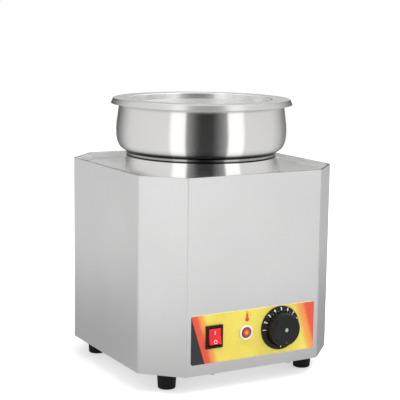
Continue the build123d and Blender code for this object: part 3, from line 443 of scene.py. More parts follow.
def start_material(name):
    """A material with a Principled shader, wired to its output, and the shader's sockets."""
    material, w = blank_material(name)
    shader = w.node("ShaderNodeBsdfPrincipled")
    output = w.node("ShaderNodeOutputMaterial")
    w.feed(output.inputs["Surface"], shader.outputs[0])
    return material, w, shader.inputs


def drawn(w):
    """The drawn sheet group, fed with the face's place and direction."""
    made = w.node("ShaderNodeGroup", node_tree=DRAWN)
    w.feed(made.inputs["Vector"], w.node("ShaderNodeTexCoord").outputs["Object"])
    w.feed(made.inputs["Face"], w.node("ShaderNodeNewGeometry").outputs["Normal"])
    return made.outputs


def add_finish(w, shader, group, colour, bump, normal=None, **values):
    """Place a finish group and feed its colour shade, roughness and bump to the shader."""
    finish = w.node("ShaderNodeGroup", node_tree=group)
    w.feed(finish.inputs["Vector"], w.node("ShaderNodeTexCoord").outputs["Object"])
    for key, value in values.items():
        w.feed(finish.inputs[key.capitalize()], value)
    w.feed(shader["Base Color"], w.scaled(colour, finish.outputs["Shade"]))
    w.feed(shader["Roughness"], finish.outputs["Roughness"])
    height = w.node("ShaderNodeBump")
    w.feed(height.inputs["Strength"], bump)
    w.feed(height.inputs["Distance"], GRAIN_DEPTH)
    w.feed(height.inputs["Height"], finish.outputs["Height"])
    w.feed(height.inputs["Normal"], normal)
    w.feed(shader["Normal"], height.outputs[0])


# Grain per metre along each axis, for walls, for plates and for small parts, which show none
ALONG_WALLS = (4.0, 4.0, 900.0)
ALONG_PLATES = (900.0, 4.0, 4.0)
NO_GRAIN = (300.0, 300.0, 300.0)
SATIN_BUMP = 0.2
SATIN_SPREAD = 0.06

# How finely and how unevenly a lathe leaves steel
POLISH_RINGS = 900.0
SPUN_BUMP = 0.08
SPUN_SPREAD = 0.04

# The duller inner face of the housing's sheet, and its paler colour, which is painted light on the insides
MATT_INSIDE = 0.15
INNER_PAINTED_LIGHT = (0.95, 0.95, 0.945, 1.0)


def satin_steel(name, colour, roughness, along, metallic=1.0):
    """Sheet or a turned part with a satin finish."""
    material, w, shader = start_material(name)
    shader["Metallic"].default_value = metallic
    add_finish(w, shader, BRUSHED, colour, SATIN_BUMP, along=along, roughness=roughness, spread=SATIN_SPREAD)
    return material


def sheet_with_inside(name, colour, roughness, along):
    """Satin steel outside, and the duller inner face of the same sheet, in a paler colour that is painted
    light.
    """
    material, w, shader = start_material(name)
    outside = w.band(drawn(w)["Outward"], -TURNED_AWAY, 0.0)
    w.feed(shader["Metallic"], w.math("MULTIPLY_ADD", outside, 1.0 - MATT_INSIDE, MATT_INSIDE))
    # Painted light: the inner face takes a paler colour than the outside of the same sheet
    colour = w.mix(outside, INNER_PAINTED_LIGHT, colour)
    add_finish(w, shader, BRUSHED, colour, SATIN_BUMP, along=along, roughness=roughness, spread=SATIN_SPREAD)
    return material


def spun_steel(name, colour, roughness, rings):
    """Steel turned on a lathe."""
    material, w, shader = start_material(name)
    shader["Metallic"].default_value = 1.0
    add_finish(w, shader, SPUN, colour, SPUN_BUMP, rings=rings, roughness=roughness, spread=SPUN_SPREAD)
    return material


POLISH = (0.87, 0.86, 0.845)
DRAWN_SMEAR = 0.9


def painted_shade_by_height(w, z, painted_shades):
    """The polish's colour with painted shade in the creases: each painted shade is a height and its share of
    light.
    """
    low, high = painted_shades[0][0], painted_shades[-1][0]
    share = w.math("DIVIDE", w.math("SUBTRACT", z, low), high - low)
    stops = []
    for height, light in painted_shades:
        stops.append(((height - low) / (high - low), [light * part for part in POLISH] + [1.0]))
    return w.ramp(share, stops)


def drawn_steel(name, painted_shades):
    """Bright drawn steel, with painted shade where its edges meet."""
    material, w, shader = start_material(name)
    shader["Metallic"].default_value = 1.0
    shader["Anisotropic"].default_value = DRAWN_SMEAR
    shader["Anisotropic Rotation"].default_value = QUARTER_TURN
    finish = {"rings": POLISH_RINGS, "roughness": 0.16, "spread": 0.03}
    # Painted shade: the colour darkens at the listed heights, where creases and seams would be in shadow
    colour = painted_shade_by_height(w, w.object_place()[3], painted_shades)
    add_finish(w, shader, SPUN, colour, 0.05, drawn(w)["Normal"], **finish)
    return material


# The pot's polished rim, in millimetres below the lip, and how soft its lower edge is
POLISHED_RIM = 8.4
POLISHED_EDGE = 0.6
POT_BEND = (0.15, 0.6)
POT_SMEAR = 0.5
POT_ROUGHNESS = 0.25
# Colours of one steel: the inside and the lip are lighter than the outside, which is painted light
POT_INSIDE_PAINTED_LIGHT = (0.89, 0.89, 0.88, 1.0)
POT_OUTSIDE = (0.82, 0.82, 0.81, 1.0)
POT_LIP = (0.84, 0.84, 0.83, 1.0)

# What the pot's inside, its lip with the bend, and the brushed inside lose of their mirror
INSIDE_LOSS = 0.06
LIP_LOSS = 0.55
BRUSHED_LOSS = 0.48


def pot_finish(rim_z):
    """A mirrored outside and rim, a paler lip, and a brushed inside below the rim; the inside's and the
    lip's lighter colours are painted light.
    """
    material, w, shader = start_material("pot_steel")
    z = w.object_place()[3]
    sides = drawn(w)
    inside = w.band(sides["Outward"], 0.0, -TURNED_AWAY)
    low = w.band(z, rim_z - POLISHED_RIM, rim_z - POLISHED_RIM - POLISHED_EDGE)
    brushed = w.math("MULTIPLY", inside, low)
    rising = w.split(w.node("ShaderNodeNewGeometry").outputs["Normal"])[2]
    bend = w.math("MULTIPLY", inside, w.band(rising, *POT_BEND))
    lip = w.math("MAXIMUM", bend, sides["Flat"])
    mirror = w.math("MULTIPLY_ADD", inside, -INSIDE_LOSS, 1.0)
    mirror = w.math("MULTIPLY_ADD", lip, -LIP_LOSS, mirror)
    w.feed(shader["Metallic"], w.math("MULTIPLY_ADD", brushed, -BRUSHED_LOSS, mirror))
    shader["Anisotropic"].default_value = POT_SMEAR
    shader["Anisotropic Rotation"].default_value = QUARTER_TURN
    finish = {"rings": POLISH_RINGS, "roughness": POT_ROUGHNESS, "spread": SPUN_SPREAD}
    # Painted light: the inside and the lip take lighter colours than the outside of the same steel
    colour = w.mix(sides["Flat"], w.mix(inside, POT_OUTSIDE, POT_INSIDE_PAINTED_LIGHT), POT_LIP)
    add_finish(w, shader, SPUN, colour, SPUN_BUMP, **finish)
    return material


def moulded(name, colour, roughness, grain=FINE_GRAIN, bump=0.3, coat=0.0, gloss=0.5):
    """Plastic, rubber, ceramic or ink."""
    material, w, shader = start_material(name)
    shader["Specular IOR Level"].default_value = gloss
    shader["Coat Weight"].default_value = coat
    add_finish(w, shader, MOULDED, colour, bump, grain=grain, roughness=roughness)
    return material


# The bowl ring's foot band and the groove above it, where the ring's steel has painted shade
SPIGOT_DEPTH = 8.0
FOOT_BAND = 4.4
GROOVE = 2.2
seat_z = ring_low.z + SPIGOT_DEPTH
band_top_z = seat_z + FOOT_BAND
crease_z = band_top_z + GROOVE

# Finishes; the drawn ones list heights of painted shade in their creases, each with its share of light
housing_steel = sheet_with_inside("housing_steel", (0.82, 0.82, 0.815, 1.0), 0.30, ALONG_WALLS)
# The deck takes the insides' paler colour as painted light
deck_steel = satin_steel("deck_steel", INNER_PAINTED_LIGHT[:3], 0.35, ALONG_PLATES, MATT_INSIDE)
plate_steel = satin_steel("plate_steel", (0.70, 0.70, 0.69), 0.38, ALONG_PLATES)
tank_steel = spun_steel("tank_steel", (0.66, 0.66, 0.65), 0.30, 700.0)
# Painted shade along the collar's top, where the ring sits on it
collar_steel = drawn_steel(
    "collar_steel", [(collar_high.z - 1.0, 1.0), (collar_high.z - 0.2, 0.04), (collar_high.z + 1.0, 0.04)]
)
# Painted shade at the ring's seat line, over its foot band, in its groove and fading up the underside of the
# belly
ring_steel = drawn_steel(
    "ring_steel",
    [
        (seat_z - 1.6, 0.9), (seat_z - 0.9, 0.03), (seat_z + 0.9, 0.03), (seat_z + 1.7, 0.42),
        (band_top_z - 0.8, 0.55), (band_top_z + 0.1, 0.03),
        (crease_z + 0.8, 0.03), (crease_z + 2.3, 0.22), (crease_z + 4.0, 0.62), (crease_z + 6.3, 0.87),
        (crease_z + 10.0, 1.0),
    ],
)
pot_steel = pot_finish(pot_high.z)
screw_steel = satin_steel("screw_steel", (0.66, 0.66, 0.64), 0.30, NO_GRAIN)
dark_steel = satin_steel("dark_steel", (0.30, 0.29, 0.28), 0.45, NO_GRAIN)
brass = satin_steel("brass", (0.80, 0.60, 0.28), 0.28, NO_GRAIN)
copper = satin_steel("copper", (0.80, 0.42, 0.28), 0.30, NO_GRAIN)
black_plastic = moulded("black_plastic", (0.010, 0.010, 0.011), 0.40, gloss=0.3)
knob_plastic = moulded("knob_plastic", (0.007, 0.007, 0.0075), 0.42, gloss=0.38)
dial_plastic = moulded("dial_plastic", (0.010, 0.010, 0.011), 0.45, gloss=0.3)
black_rubber = moulded("black_rubber", (0.006, 0.006, 0.006), 0.62, grain=900.0, bump=0.5, gloss=0.25)
red_plastic = moulded("red_plastic", (0.80, 0.016, 0.020), 0.34, bump=0.1, coat=0.05, gloss=0.35)
white_plastic = moulded("white_plastic", (0.88, 0.87, 0.84), 0.30, bump=0.1, coat=0.2)
grey_plastic = moulded("grey_plastic", (0.34, 0.33, 0.31), 0.45)
ceramic = moulded("ceramic", (0.80, 0.77, 0.70), 0.35)
insulation = moulded("insulation", (0.78, 0.75, 0.66), 0.9, grain=500.0, bump=0.9)
white_ink = moulded("white_ink", (0.88, 0.88, 0.88), 0.45)
grey_ink = moulded("grey_ink", (0.42, 0.42, 0.42), 0.40)
red_ink = moulded("red_ink", (0.80, 0.045, 0.03), 0.45)
orange_ink = moulded("orange_ink", (0.88, 0.30, 0.05), 0.45)


def bulb_glass():
    """Clear, slightly warm glass."""
    material, _, shader = start_material("bulb_glass")
    shader["Base Color"].default_value = (0.98, 0.9, 0.82, 1.0)
    shader["Roughness"].default_value = 0.05
    shader["Transmission Weight"].default_value = 0.9
    return material


# The lens: its ribs, and between which radii the painted glow of the lit bulb fades and the rim darkens
LENS_RIBS = 24.0
LENS_RIB_DEPTH = 0.3
LENS_GLOW = (0.6, 3.8)
LENS_RIM = (4.2, 6.4)
LENS_LIGHT = 0.30
GLOW_ORANGE = (0.93, 0.27, 0.04, 1.0)
LENS_RED = (0.42, 0.045, 0.012, 1.0)
LENS_DARK = (0.16, 0.012, 0.006, 1.0)


def amber_lens():
    """A ribbed lens with the lit bulb's glow painted into its colour: orange in its middle and dark red
    towards its rim.
    """
    material, w, shader = start_material("amber_lens")
    _, x, _, z = w.object_place()
    across = w.math("SUBTRACT", x, LAMP_X)
    rise = w.math("SUBTRACT", z, CONTROL_Z)
    ribs = w.math("SINE", w.math("MULTIPLY", w.math("ARCTAN2", rise, across), LENS_RIBS))
    radius = w.math("MULTIPLY_ADD", ribs, LENS_RIB_DEPTH, w.distance(across, rise))
    # Painted light: the bulb's glow in the lens's colour, fading towards a darker rim
    glow = w.mix(w.band(radius, *LENS_GLOW), GLOW_ORANGE, LENS_RED)
    glow = w.mix(w.band(radius, *LENS_RIM), glow, LENS_DARK)
    w.feed(shader["Base Color"], glow)
    w.feed(shader["Roughness"], 0.15)
    w.feed(shader["Coat Weight"], 0.4)
    w.feed(shader["Emission Color"], glow)
    w.feed(shader["Emission Strength"], LENS_LIGHT)
    return material


# The label's print: how far its bars lean, how wide their torn edges are, and its inks
LABEL_LEAN = 0.32
LABEL_TORN = 22.0
LABEL_YELLOW = (0.83, 0.71, 0.10, 1.0)
LABEL_DEEP_YELLOW = (0.81, 0.62, 0.08, 1.0)
LABEL_ORANGE = (0.88, 0.33, 0.06, 1.0)
LABEL_RED = (0.78, 0.075, 0.03, 1.0)
LABEL_BLACK = (0.02, 0.02, 0.025, 1.0)
LABEL_PALE = (0.90, 0.84, 0.52, 1.0)
LABEL_EDGE = 0.7


def label_print():
    """Yellow print with leaning black, red and orange bars at its ends."""
    material, w, shader = start_material("label_print")
    coords, x, _, z = w.object_place()
    lean = w.math("MULTIPLY_ADD", w.math("SUBTRACT", z, CONTROL_Z), LABEL_LEAN, x)
    speckle = w.noise(coords, scale=1600.0, detail=2.0, roughness=0.7)
    broad = w.noise(coords, scale=30.0, detail=3.0, roughness=0.6)
    torn = w.math("MULTIPLY_ADD", w.math("SUBTRACT", speckle, 0.5), LABEL_TORN, lean)
    colour = w.mix(w.band(broad, 0.35, 0.75), LABEL_YELLOW, LABEL_DEEP_YELLOW)
    low, high = label_low.x, label_high.x
    # Each bar's edge, torn or straight, where its ink starts and where it is full, and its ink
    for edge, start, full, ink in (
        (torn, low + 30.0, low + 25.0, LABEL_ORANGE),
        (torn, low + 21.0, low + 18.0, LABEL_RED),
        (lean, low + 9.5, low + 9.0, LABEL_BLACK),
        (torn, high - 24.0, high - 16.0, LABEL_ORANGE),
        (torn, high - 12.0, high - 6.0, LABEL_RED),
    ):
        colour = w.mix(w.band(edge, start, full), colour, ink)
    trim = w.band(z, label_high.z - LABEL_EDGE, label_high.z)
    w.feed(shader["Base Color"], w.mix(trim, colour, LABEL_PALE))
    w.feed(shader["Roughness"], w.band(broad, 0.2, 0.8, 0.40, 0.48))
    w.feed(shader["Coat Weight"], 0.15)
    return material


def paint(piece, material, body):
    """Give a new piece its material and the body it moves with."""
    piece.data.materials.clear()
    piece.data.materials.append(material)
    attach(piece, body)
    return piece


def repaint(node, material):
    """Give a solid that stays a better material."""
    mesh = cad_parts[node].data
    mesh.materials.clear()
    mesh.materials.append(material)


# Pot, bowl ring and collar, spun from their sheets, in millimetres
POT_SHEET = 1.0
RING_SHEET = 1.0
COLLAR_SHEET = 1.2
LIP_RADIUS = 124.0
SKIRT_OUT = 3.3
SKIRT_DROP = 7.3
POT_MOUTH = 99.2
POT_FLOOR = 94.0
POT_BENDS = (14.0, 1.9, 1.7)
BAND_RADIUS = 106.0
BULGE_RADIUS = 120.0
GROOVE_DEPTH = 1.6
BELLY_RISE = 2.6
BULGE_HEIGHT = 27.1
NECK_CURVE = 7.0
NECK_LEAN = tan(radians(8.0))
RIM_WIDTH = 9.0
RIM_ROUND = 1.2
SPIGOT_RADIUS = 103.0
COLLAR_MOUTH = 103.4
COLLAR_TOP = 105.6
COLLAR_RADIUS = 113.0
COLLAR_SHOULDER = 3.4
COLLAR_FALL = 5.9
COLLAR_HAUNCH = 11.9
COLLAR_FLANGE = 122.0

# Straight runs that make up each curve
RIM_STEPS = 6
NECK_STEPS = 14
BELLY_STEPS = 32
COLLAR_STEPS = 36


def make_pot():
    """The pot, from the middle of its floor up to the lip and down its slanted skirt."""
    lip_z = pot_high.z
    floor_z = pot_low.z + POT_SHEET
    path = [
        (0.0, floor_z), (POT_FLOOR, floor_z), (POT_MOUTH, lip_z), (LIP_RADIUS, lip_z),
        (LIP_RADIUS + SKIRT_OUT, lip_z - SKIRT_DROP),
    ]
    pot = spun("pot", rounded(path, POT_BENDS), POT_SHEET)
    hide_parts("soup_pot")
    return paint(pot, pot_steel, "pot")


def make_ring():
    """The ring, from its rolled rim down over neck and belly to the foot band and the spigot."""
    bulge_z = crease_z + BULGE_HEIGHT
    top = ring_high.z

    def neck(z):
        """Radius of the leaning neck at a height."""
        return BULGE_RADIUS - NECK_LEAN * (z - bulge_z - NECK_CURVE)

    cone = (neck(bulge_z + 2 * NECK_CURVE), bulge_z + 2 * NECK_CURVE)
    wide = (BULGE_RADIUS, bulge_z)
    foot = (BAND_RADIUS, crease_z)
    rim = (neck(top), top)
    under_rim = (neck(top - RIM_ROUND), top - RIM_ROUND)
    profile = [(rim[0] - RIM_WIDTH, top), (rim[0] - RIM_ROUND, top)]
    profile += curve([profile[-1], rim, under_rim], RIM_STEPS)
    profile.append(cone)
    profile += curve([cone, (BULGE_RADIUS, bulge_z + NECK_CURVE), wide], NECK_STEPS)
    profile += curve([wide, (BULGE_RADIUS, crease_z + BELLY_RISE), foot], BELLY_STEPS)
    profile += [
        (BAND_RADIUS - GROOVE_DEPTH, band_top_z + GROOVE / 2), (BAND_RADIUS, band_top_z),
        (BAND_RADIUS, seat_z), (SPIGOT_RADIUS, seat_z), (SPIGOT_RADIUS, ring_low.z),
    ]
    ring = spun("ring", profile, RING_SHEET)
    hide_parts("bowl_ring")
    return paint(ring, ring_steel, "ring")


def make_collar():
    """The collar, from its mouth down over the shoulder to the flange on the deck."""
    top = collar_high.z
    foot = collar_low.z + COLLAR_SHEET
    profile = [(COLLAR_MOUTH, top), (COLLAR_TOP, top)]
    profile += curve(
        [
            (COLLAR_TOP, top), (COLLAR_TOP + COLLAR_SHOULDER, top - COLLAR_FALL),
            (COLLAR_RADIUS, top - COLLAR_HAUNCH), (COLLAR_RADIUS, foot),
        ],
        COLLAR_STEPS,
    )
    profile.append((COLLAR_FLANGE, foot))
    collar = spun("collar", profile, COLLAR_SHEET)
    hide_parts("tank_collar")
    return paint(collar, collar_steel, "root")


make_pot()
make_ring()
make_collar()

# Housing, plates and mouldings, merged so that their bends shade smoothly
for node, material, slot in (
    ("housing_wrapper", housing_steel, "housing_steel"),
    ("front_panel", housing_steel, "housing_steel"),
    ("deck_plate", deck_steel, "plain_steel"),
    ("bottom_plate", plate_steel, "plain_steel"),
    ("water_tank", tank_steel, "plain_steel"),
    ("heat_shield", plate_steel, "plain_steel"),
    ("clamp_plate", plate_steel, "plain_steel"),
    ("bulb_clips", plate_steel, "plain_steel"),
    ("heating_element", dark_steel, "element_steel"),
    ("rubber_feet", black_rubber, "black_rubber"),
    ("switch_body", black_plastic, "black_plastic"),
    ("cable_gland", black_plastic, "black_plastic"),
    ("gland_cap_nut", black_plastic, "black_plastic"),
    ("dial_ring", dial_plastic, "black_plastic"),
    ("lamp_bezel", white_plastic, "white_plastic"),
    ("lamp_lens", amber_lens(), "amber_lens"),
):
    paint(merged_copy(node, node + "_shaded"), material, "root")
rocker = paint(merged_copy("switch_rocker", "rocker_shaded"), red_plastic, "rocker")
knob_copy = merged_copy("control_knob", "knob_shaded", has_flats=False)
knob = paint(knob_copy, knob_plastic, "knob")

for material, nodes in (
    (screw_steel, ("panel_nuts", "base_plate_screws", "foot_screws", "foot_nuts", "clamp_nut", "shield_nuts",
                   "thermostat_screws", "thermostat_shaft", "earth_stud", "earth_nut", "dry_boil_cutout")),
    (brass, ("switch_blades", "thermostat_blades", "terminal_screws")),
    (black_plastic, ("gland_lock_nut",)),
    (grey_plastic, ("lamp_base", "thermostat_body", "terminal_block")),
    (white_plastic, ("lamp_nut",)),
    (ceramic, ("element_beads",)),
    (insulation, ("insulation_pad",)),
    (copper, ("thermostat_bulb",)),
    (bulb_glass(), ("lamp_bulb",)),
    (label_print(), ("label_plate",)),
):
    for node in nodes:
        repaint(node, material)


# Printed marks lie on their piece, each drawn flat and then moved to its place
MARK_SHEET = 0.04 * MM


def raised(place):
    """Give the flat mark in hand its thin body, and move it to its place."""
    mark = bpy.context.object
    edit_all()
    bpy.ops.mesh.extrude_region_move(TRANSFORM_OT_translate={"value": (0, 0, MARK_SHEET)})
    bpy.ops.mesh.select_all(action="SELECT")
    bpy.ops.mesh.normals_make_consistent(inside=False)
    bpy.ops.object.mode_set(mode="OBJECT")
    mark.data.transform(place)
    return mark


def figure(text, size, bold, place):
    """A printed figure, with its strokes made bolder."""
    deselect()
    bpy.ops.object.text_add(location=(0, 0, 0))
    mark = bpy.context.object
    mark.data.body = text
    mark.data.align_x = "CENTER"
    mark.data.align_y = "CENTER"
    mark.data.size = size * MM
    mark.data.offset = bold * MM
    mark.data.extrude = MARK_SHEET / 2
    bpy.ops.object.convert(target="MESH")
    mark = bpy.context.object
    mark.data.transform(place)
    return mark


def dot(radius, place, inner=0.0, steps=32):
    """A printed dot, or a ring where it has an inner radius."""
    deselect()
    bpy.ops.mesh.primitive_circle_add(
        vertices=steps, radius=radius * MM, fill_type="NGON", location=(0, 0, 0)
    )
    if inner:
        edit_all()
        bpy.ops.mesh.inset(thickness=(radius - inner) * MM)
        bpy.ops.mesh.delete(type="ONLY_FACE")
        bpy.ops.object.mode_set(mode="OBJECT")
    return raised(place)


def bar(width, height, place):
    """A printed bar with its corners cut."""
    deselect()
    bpy.ops.mesh.primitive_plane_add(size=MM, location=(0, 0, 0))
    bpy.ops.object.mode_set(mode="EDIT")
    bpy.ops.transform.resize(value=(width, height, 1))
    bpy.ops.mesh.bevel(offset=min(width, height) * MM / 4, segments=3, affect="VERTICES")
    bpy.ops.object.mode_set(mode="OBJECT")
    return raised(place)


def on_label(x, z, lift=0.02):
    """Place on the label's front."""
    spot = Vector((x, LABEL_Y - lift, z)) * MM
    return Matrix.Translation(spot) @ Matrix.Rotation(pi / 2, 4, "X")


def on_face(piece, x, z):
    """Place on whatever face of a piece is met from the front, along its slope."""
    _, spot, normal, _ = piece.ray_cast(Vector((x, 2 * LABEL_Y, z)) * MM, Vector((0, 1, 0)))
    right = Vector((1, 0, 0))
    up = normal.cross(right).normalized()
    turn = Matrix((up.cross(normal), up, normal)).transposed().to_4x4()
    return Matrix.Translation(spot) @ turn


# The dial's numbers and dots, and its off mark, in millimetres and degrees
DIAL_FIGURES = 8
DIAL_STEP = 22.5
DIAL_START = -90.0
FIGURE_RADIUS = 26.7
FIGURE_SIZE = 5.6
FIGURE_BOLD = 0.14
DOT_RADIUS = 23.95
NUMBER_DOT = 0.42
HALF_DOT = 0.36
OFF_MARK_RADIUS = 25.6
OFF_MARK = (0.9, 2.6)
DIAL_RADIUS = (dial_high.x - dial_low.x) / 2
DIAL_INNER = 23.3
DIAL_EDGE = 2.2
DIAL_TOP = 4.0
dial_slope = atan2(DIAL_TOP - DIAL_EDGE, DIAL_RADIUS - DIAL_INNER)


def dial_place(radius, angle):
    """Place on the dial's cone, its up away from the axis, at an angle clockwise from the top."""
    height = DIAL_EDGE + (DIAL_RADIUS - radius) * tan(dial_slope)
    centre = Matrix.Translation(Vector((KNOB_X, LABEL_Y - height, CONTROL_Z)) * MM)
    out = Matrix.Rotation(radians(angle), 4, "Y") @ Matrix.Translation((0, 0, radius * MM))
    return centre @ out @ Matrix.Rotation(-dial_slope, 4, "X") @ Matrix.Rotation(pi / 2, 4, "X")


def make_dial_marks():
    """The off mark at the bottom, and a number and a dot for each step, with half steps between."""
    marks = [bar(*OFF_MARK, dial_place(OFF_MARK_RADIUS, 180.0))]
    for i in range(DIAL_FIGURES):
        angle = DIAL_START + i * DIAL_STEP
        marks.append(figure(str(i + 1), FIGURE_SIZE, FIGURE_BOLD, dial_place(FIGURE_RADIUS, angle)))
        marks.append(dot(NUMBER_DOT, dial_place(DOT_RADIUS, angle)))
        if i + 1 < DIAL_FIGURES:
            marks.append(dot(HALF_DOT, dial_place(DOT_RADIUS, angle + DIAL_STEP / 2)))
    return paint(join("dial_marks", marks), white_ink, "root")


# The knob's pointer dot and the plain disc in its cap
POINTER_RADIUS = 17.2
POINTER_DOT = 0.6
CAP_DISC = 3.0


def make_knob_marks():
    """The pointer and the disc, which turn with the cap."""
    pointer = dot(POINTER_DOT, on_face(knob, KNOB_X, CONTROL_Z - POINTER_RADIUS))
    disc = dot(CAP_DISC, on_face(knob, KNOB_X, CONTROL_Z), steps=48)
    return paint(join("knob_marks", [pointer, disc]), grey_ink, "knob")


# The rocker's I and O, and the heating sign over the lamp
MARK_RISE = 5.9
ON_MARK = (0.8, 5.6)
RING_MARK = 2.5
RING_MARK_INNER = 1.8


def make_rocker_marks():
    """The I and the O, which tilt with the rocker."""
    on = bar(*ON_MARK, on_face(rocker, SWITCH_X, CONTROL_Z + MARK_RISE))
    off = dot(RING_MARK, on_face(rocker, SWITCH_X, CONTROL_Z - MARK_RISE), RING_MARK_INNER, steps=40)
    return paint(join("rocker_marks", [on, off]), white_ink, "rocker")


# The sign is a thermometer: its bulb, and the width and height of its stem, tip and ticks
SIGN_X = LAMP_X + 2.0
SIGN_BULB_Z = CONTROL_Z + 17.4
SIGN_BULB = 3.1
SIGN_BULB_LIFT = 0.05
SIGN_STEM = (3.4, 7.6)
SIGN_TIP = (2.6, 3.6)
TICK = (2.6, 0.8)
TICKS = 3
TICK_AWAY = 4.6
TICK_STEP = 2.2


def make_heat_signs():
    """A thermometer with three ticks."""
    stem_z = SIGN_BULB_Z + SIGN_STEM[1] / 2
    tip_z = SIGN_BULB_Z + SIGN_STEM[1] + SIGN_TIP[1] / 2
    red = [
        dot(SIGN_BULB, on_label(SIGN_X, SIGN_BULB_Z, SIGN_BULB_LIFT)),
        bar(*SIGN_STEM, on_label(SIGN_X, stem_z)),
    ]
    orange = [bar(*SIGN_TIP, on_label(SIGN_X, tip_z))]
    for i in range(TICKS):
        orange.append(bar(*TICK, on_label(SIGN_X + TICK_AWAY, tip_z - TICK_STEP * i)))
    paint(join("heat_sign", red), red_ink, "root")
    paint(join("heat_sign_tip", orange), orange_ink, "root")


bpy.context.view_layer.update()
make_dial_marks()
make_knob_marks()
make_rocker_marks()
make_heat_signs()


# Camera
def camera_axes():
    """The camera's right, up and backward directions."""
    back = Vector((sin(CAMERA_AZIMUTH) * cos(CAMERA_ELEVATION),
                   -cos(CAMERA_AZIMUTH) * cos(CAMERA_ELEVATION), sin(CAMERA_ELEVATION)))
    right = Vector((cos(CAMERA_AZIMUTH), sin(CAMERA_AZIMUTH), 0))
    up = back.cross(right)
    turned_right = cos(CAMERA_ROLL) * right + sin(CAMERA_ROLL) * up
    turned_up = cos(CAMERA_ROLL) * up - sin(CAMERA_ROLL) * right
    return turned_right, turned_up, back


def place_camera():
    """Stand the camera where the photograph was taken from."""
    right, up, back = camera_axes()
    aim = AIM_RIGHT * right + AIM_UP * up + Vector((0, 0, AIM_HEIGHT))
    turn = Matrix((right, up, back)).transposed().to_4x4()
    data = bpy.data.cameras.new("camera")
    data.sensor_width = SENSOR_WIDTH
    data.lens = CAMERA_FOCAL_PIXELS / PHOTO_WIDTH * SENSOR_WIDTH
    data.clip_start = 0.05
    camera = bpy.data.objects.new("camera", data)
    bpy.context.scene.collection.objects.link(camera)
    camera.matrix_world = Matrix.Translation((aim + CAMERA_DISTANCE * back) * MM) @ turn
    bpy.context.scene.camera = camera


place_camera()

# Brightness that polished steel sees round the object, by the angle from the camera's own direction
STUDIO = (
    (-180.0, 0.10), (-152.0, 0.13), (-136.0, 0.32), (-123.0, 0.55), (-113.0, 0.69), (-104.0, 0.74),
    (-44.0, 0.79), (-42.0, 1.18), (-22.5, 1.18), (-20.5, 0.31), (-13.0, 0.17), (-7.0, 0.07), (-2.0, 0.02),
    (15.0, 0.02), (20.5, 0.08), (26.0, 0.17), (32.0, 0.27), (36.0, 0.33), (37.8, 1.18), (59.0, 1.18),
    (61.5, 0.76), (110.0, 0.73), (127.0, 0.55), (141.0, 0.32), (160.0, 0.13), (180.0, 0.10),
)

# What steel sees overhead, from which height on, and the level that lights everything else
SKY = 0.92
HIGH_SKY = (0.50, 0.95)
DAYLIGHT = 0.57

# The floor as it is lit, and the light that it adds so that it looks white
FLOOR_SIZE = 14.0
FLOOR_GREY = 0.90
FLOOR_LIFT = 0.50

# The floor as steel mirrors it: dim up to a near distance, full at a far one (both in metres),
# brighter on one side, and less bright on the right
NEAR_FLOOR = (0.10, 0.53)
FAR_FLOOR = 0.98
FLOOR_MEAN = 0.80
FLOOR_SWING = 0.16
FLOOR_BRIGHT_SIDE = radians(8.0)
FLOOR_LEAN = 0.10
FLOOR_RIGHT_EDGE = (radians(54.0), radians(74.0))
FLOOR_RIGHT = 0.85


def camera_side(w, x, y):
    """Angle of a horizontal direction from the camera's."""
    return w.math("SUBTRACT", w.math("ARCTAN2", x, w.math("MULTIPLY", y, -1.0)), CAMERA_AZIMUTH)


def studio_group():
    """Level of the studio in a horizontal direction."""
    group, w, given, out = new_group(
        "studio level", [("Way", "NodeSocketVector", None)], [("Level", "NodeSocketColor")]
    )
    x, y, _ = w.split(given["Way"])
    turned = w.math("DIVIDE", camera_side(w, x, y), TURN)
    share = w.math("ADD", w.math("WRAP", turned, 0.5, -0.5), 0.5)
    stops = [(degree / 360 + 0.5, (level, level, level, 1.0)) for degree, level in STUDIO]
    w.feed(out["Level"], w.ramp(share, stops))
    return group


def seen_ray(w):
    """One for rays that the camera sees straight or through glass, and the mirror rays."""
    path = w.node("ShaderNodeLightPath").outputs
    return w.math("MAXIMUM", path["Is Camera Ray"], path["Is Transmission Ray"]), path["Is Glossy Ray"]


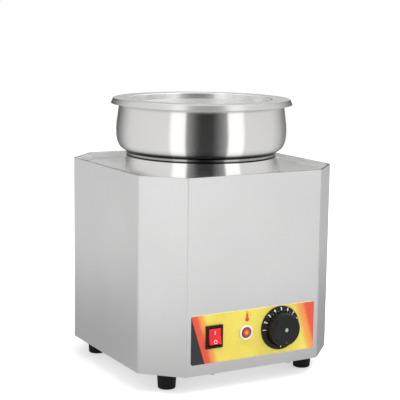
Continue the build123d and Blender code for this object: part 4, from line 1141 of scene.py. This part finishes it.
def make_floor():
    """A pale floor: white to the eye but for the shadow, and to steel brighter far out and in front."""
    deselect()
    bpy.ops.mesh.primitive_plane_add(size=FLOOR_SIZE, location=(0, 0, 0))
    floor = bpy.context.object
    floor.name = "floor"
    material, w = blank_material("pale_floor")
    seen, mirrored = seen_ray(w)
    _, x, y, _ = w.object_place()
    away = w.math("MULTIPLY", w.distance(x, y), MM)
    near, dim = NEAR_FLOOR
    angle = camera_side(w, x, y)
    side = w.math("COSINE", w.math("SUBTRACT", angle, FLOOR_BRIGHT_SIDE))
    level = w.math("MULTIPLY_ADD", side, FLOOR_SWING, FLOOR_MEAN)
    level = w.math("MULTIPLY", level, w.band(angle, *FLOOR_RIGHT_EDGE, 1.0, FLOOR_RIGHT))
    away = w.math("MULTIPLY_ADD", side, FLOOR_LEAN, away)
    matt = w.node("ShaderNodeBsdfDiffuse")
    matt.inputs["Color"].default_value = (FLOOR_GREY, FLOOR_GREY, FLOOR_GREY, 1.0)
    lift = w.node("ShaderNodeEmission")
    w.feed(lift.inputs["Strength"], w.math("MULTIPLY", seen, FLOOR_LIFT))
    pale = w.node("ShaderNodeAddShader")
    w.feed(pale.inputs[0], matt.outputs[0])
    w.feed(pale.inputs[1], lift.outputs[0])
    studio = w.node("ShaderNodeEmission")
    w.feed(studio.inputs["Strength"], w.math("MULTIPLY", level, w.band(away, near, FAR_FLOOR, dim, 1.0)))
    both = w.node("ShaderNodeMixShader")
    w.feed(both.inputs[0], mirrored)
    w.feed(both.inputs[1], pale.outputs[0])
    w.feed(both.inputs[2], studio.outputs[0])
    w.feed(w.node("ShaderNodeOutputMaterial").inputs["Surface"], both.outputs[0])
    floor.data.materials.append(material)


def make_world():
    """White to the eye, the studio to steel, and even daylight to everything else."""
    world = bpy.data.worlds.new("studio")
    bpy.context.scene.world = world
    world.use_nodes = True
    world.node_tree.nodes.clear()
    w = Wiring(world.node_tree)
    way = w.node("ShaderNodeTexCoord").outputs["Generated"]
    seen, mirrored = seen_ray(w)
    high = w.band(w.split(way)[2], *HIGH_SKY)
    level = w.node("ShaderNodeGroup", node_tree=studio_group())
    w.feed(level.inputs["Way"], way)
    room = w.mix(high, level.outputs["Level"], (SKY, SKY, SKY, 1.0))
    soft = w.mix(mirrored, (DAYLIGHT, DAYLIGHT, DAYLIGHT, 1.0), room)
    background = w.node("ShaderNodeBackground")
    w.feed(background.inputs["Color"], w.mix(seen, soft, (1.0, 1.0, 1.0, 1.0)))
    w.feed(w.node("ShaderNodeOutputWorld").inputs["Surface"], background.outputs[0])


# Lamps, in metres and watts
LAMP_AIM = Vector((0, 0, 0.2))


def softbox(name, place, size, power):
    """A square lamp turned to the object, which steel doesn't mirror."""
    deselect()
    bpy.ops.object.light_add(type="AREA", location=place)
    lamp = bpy.context.object
    lamp.name = name
    lamp.data.size = size
    lamp.data.energy = power
    aim = LAMP_AIM - Vector(place)
    lamp.rotation_euler = aim.to_track_quat("-Z", "Y").to_euler()
    lamp.visible_glossy = False


make_floor()
make_world()
softbox("overhead", (0.6, -0.35, 2.1), 1.8, 50.0)
softbox("front_left", (-1.6, -1.6, 1.3), 1.4, 6.0)
softbox("right", (2.0, -1.0, 1.2), 1.4, 8.0)
bpy.context.scene.view_settings.view_transform = "Standard"
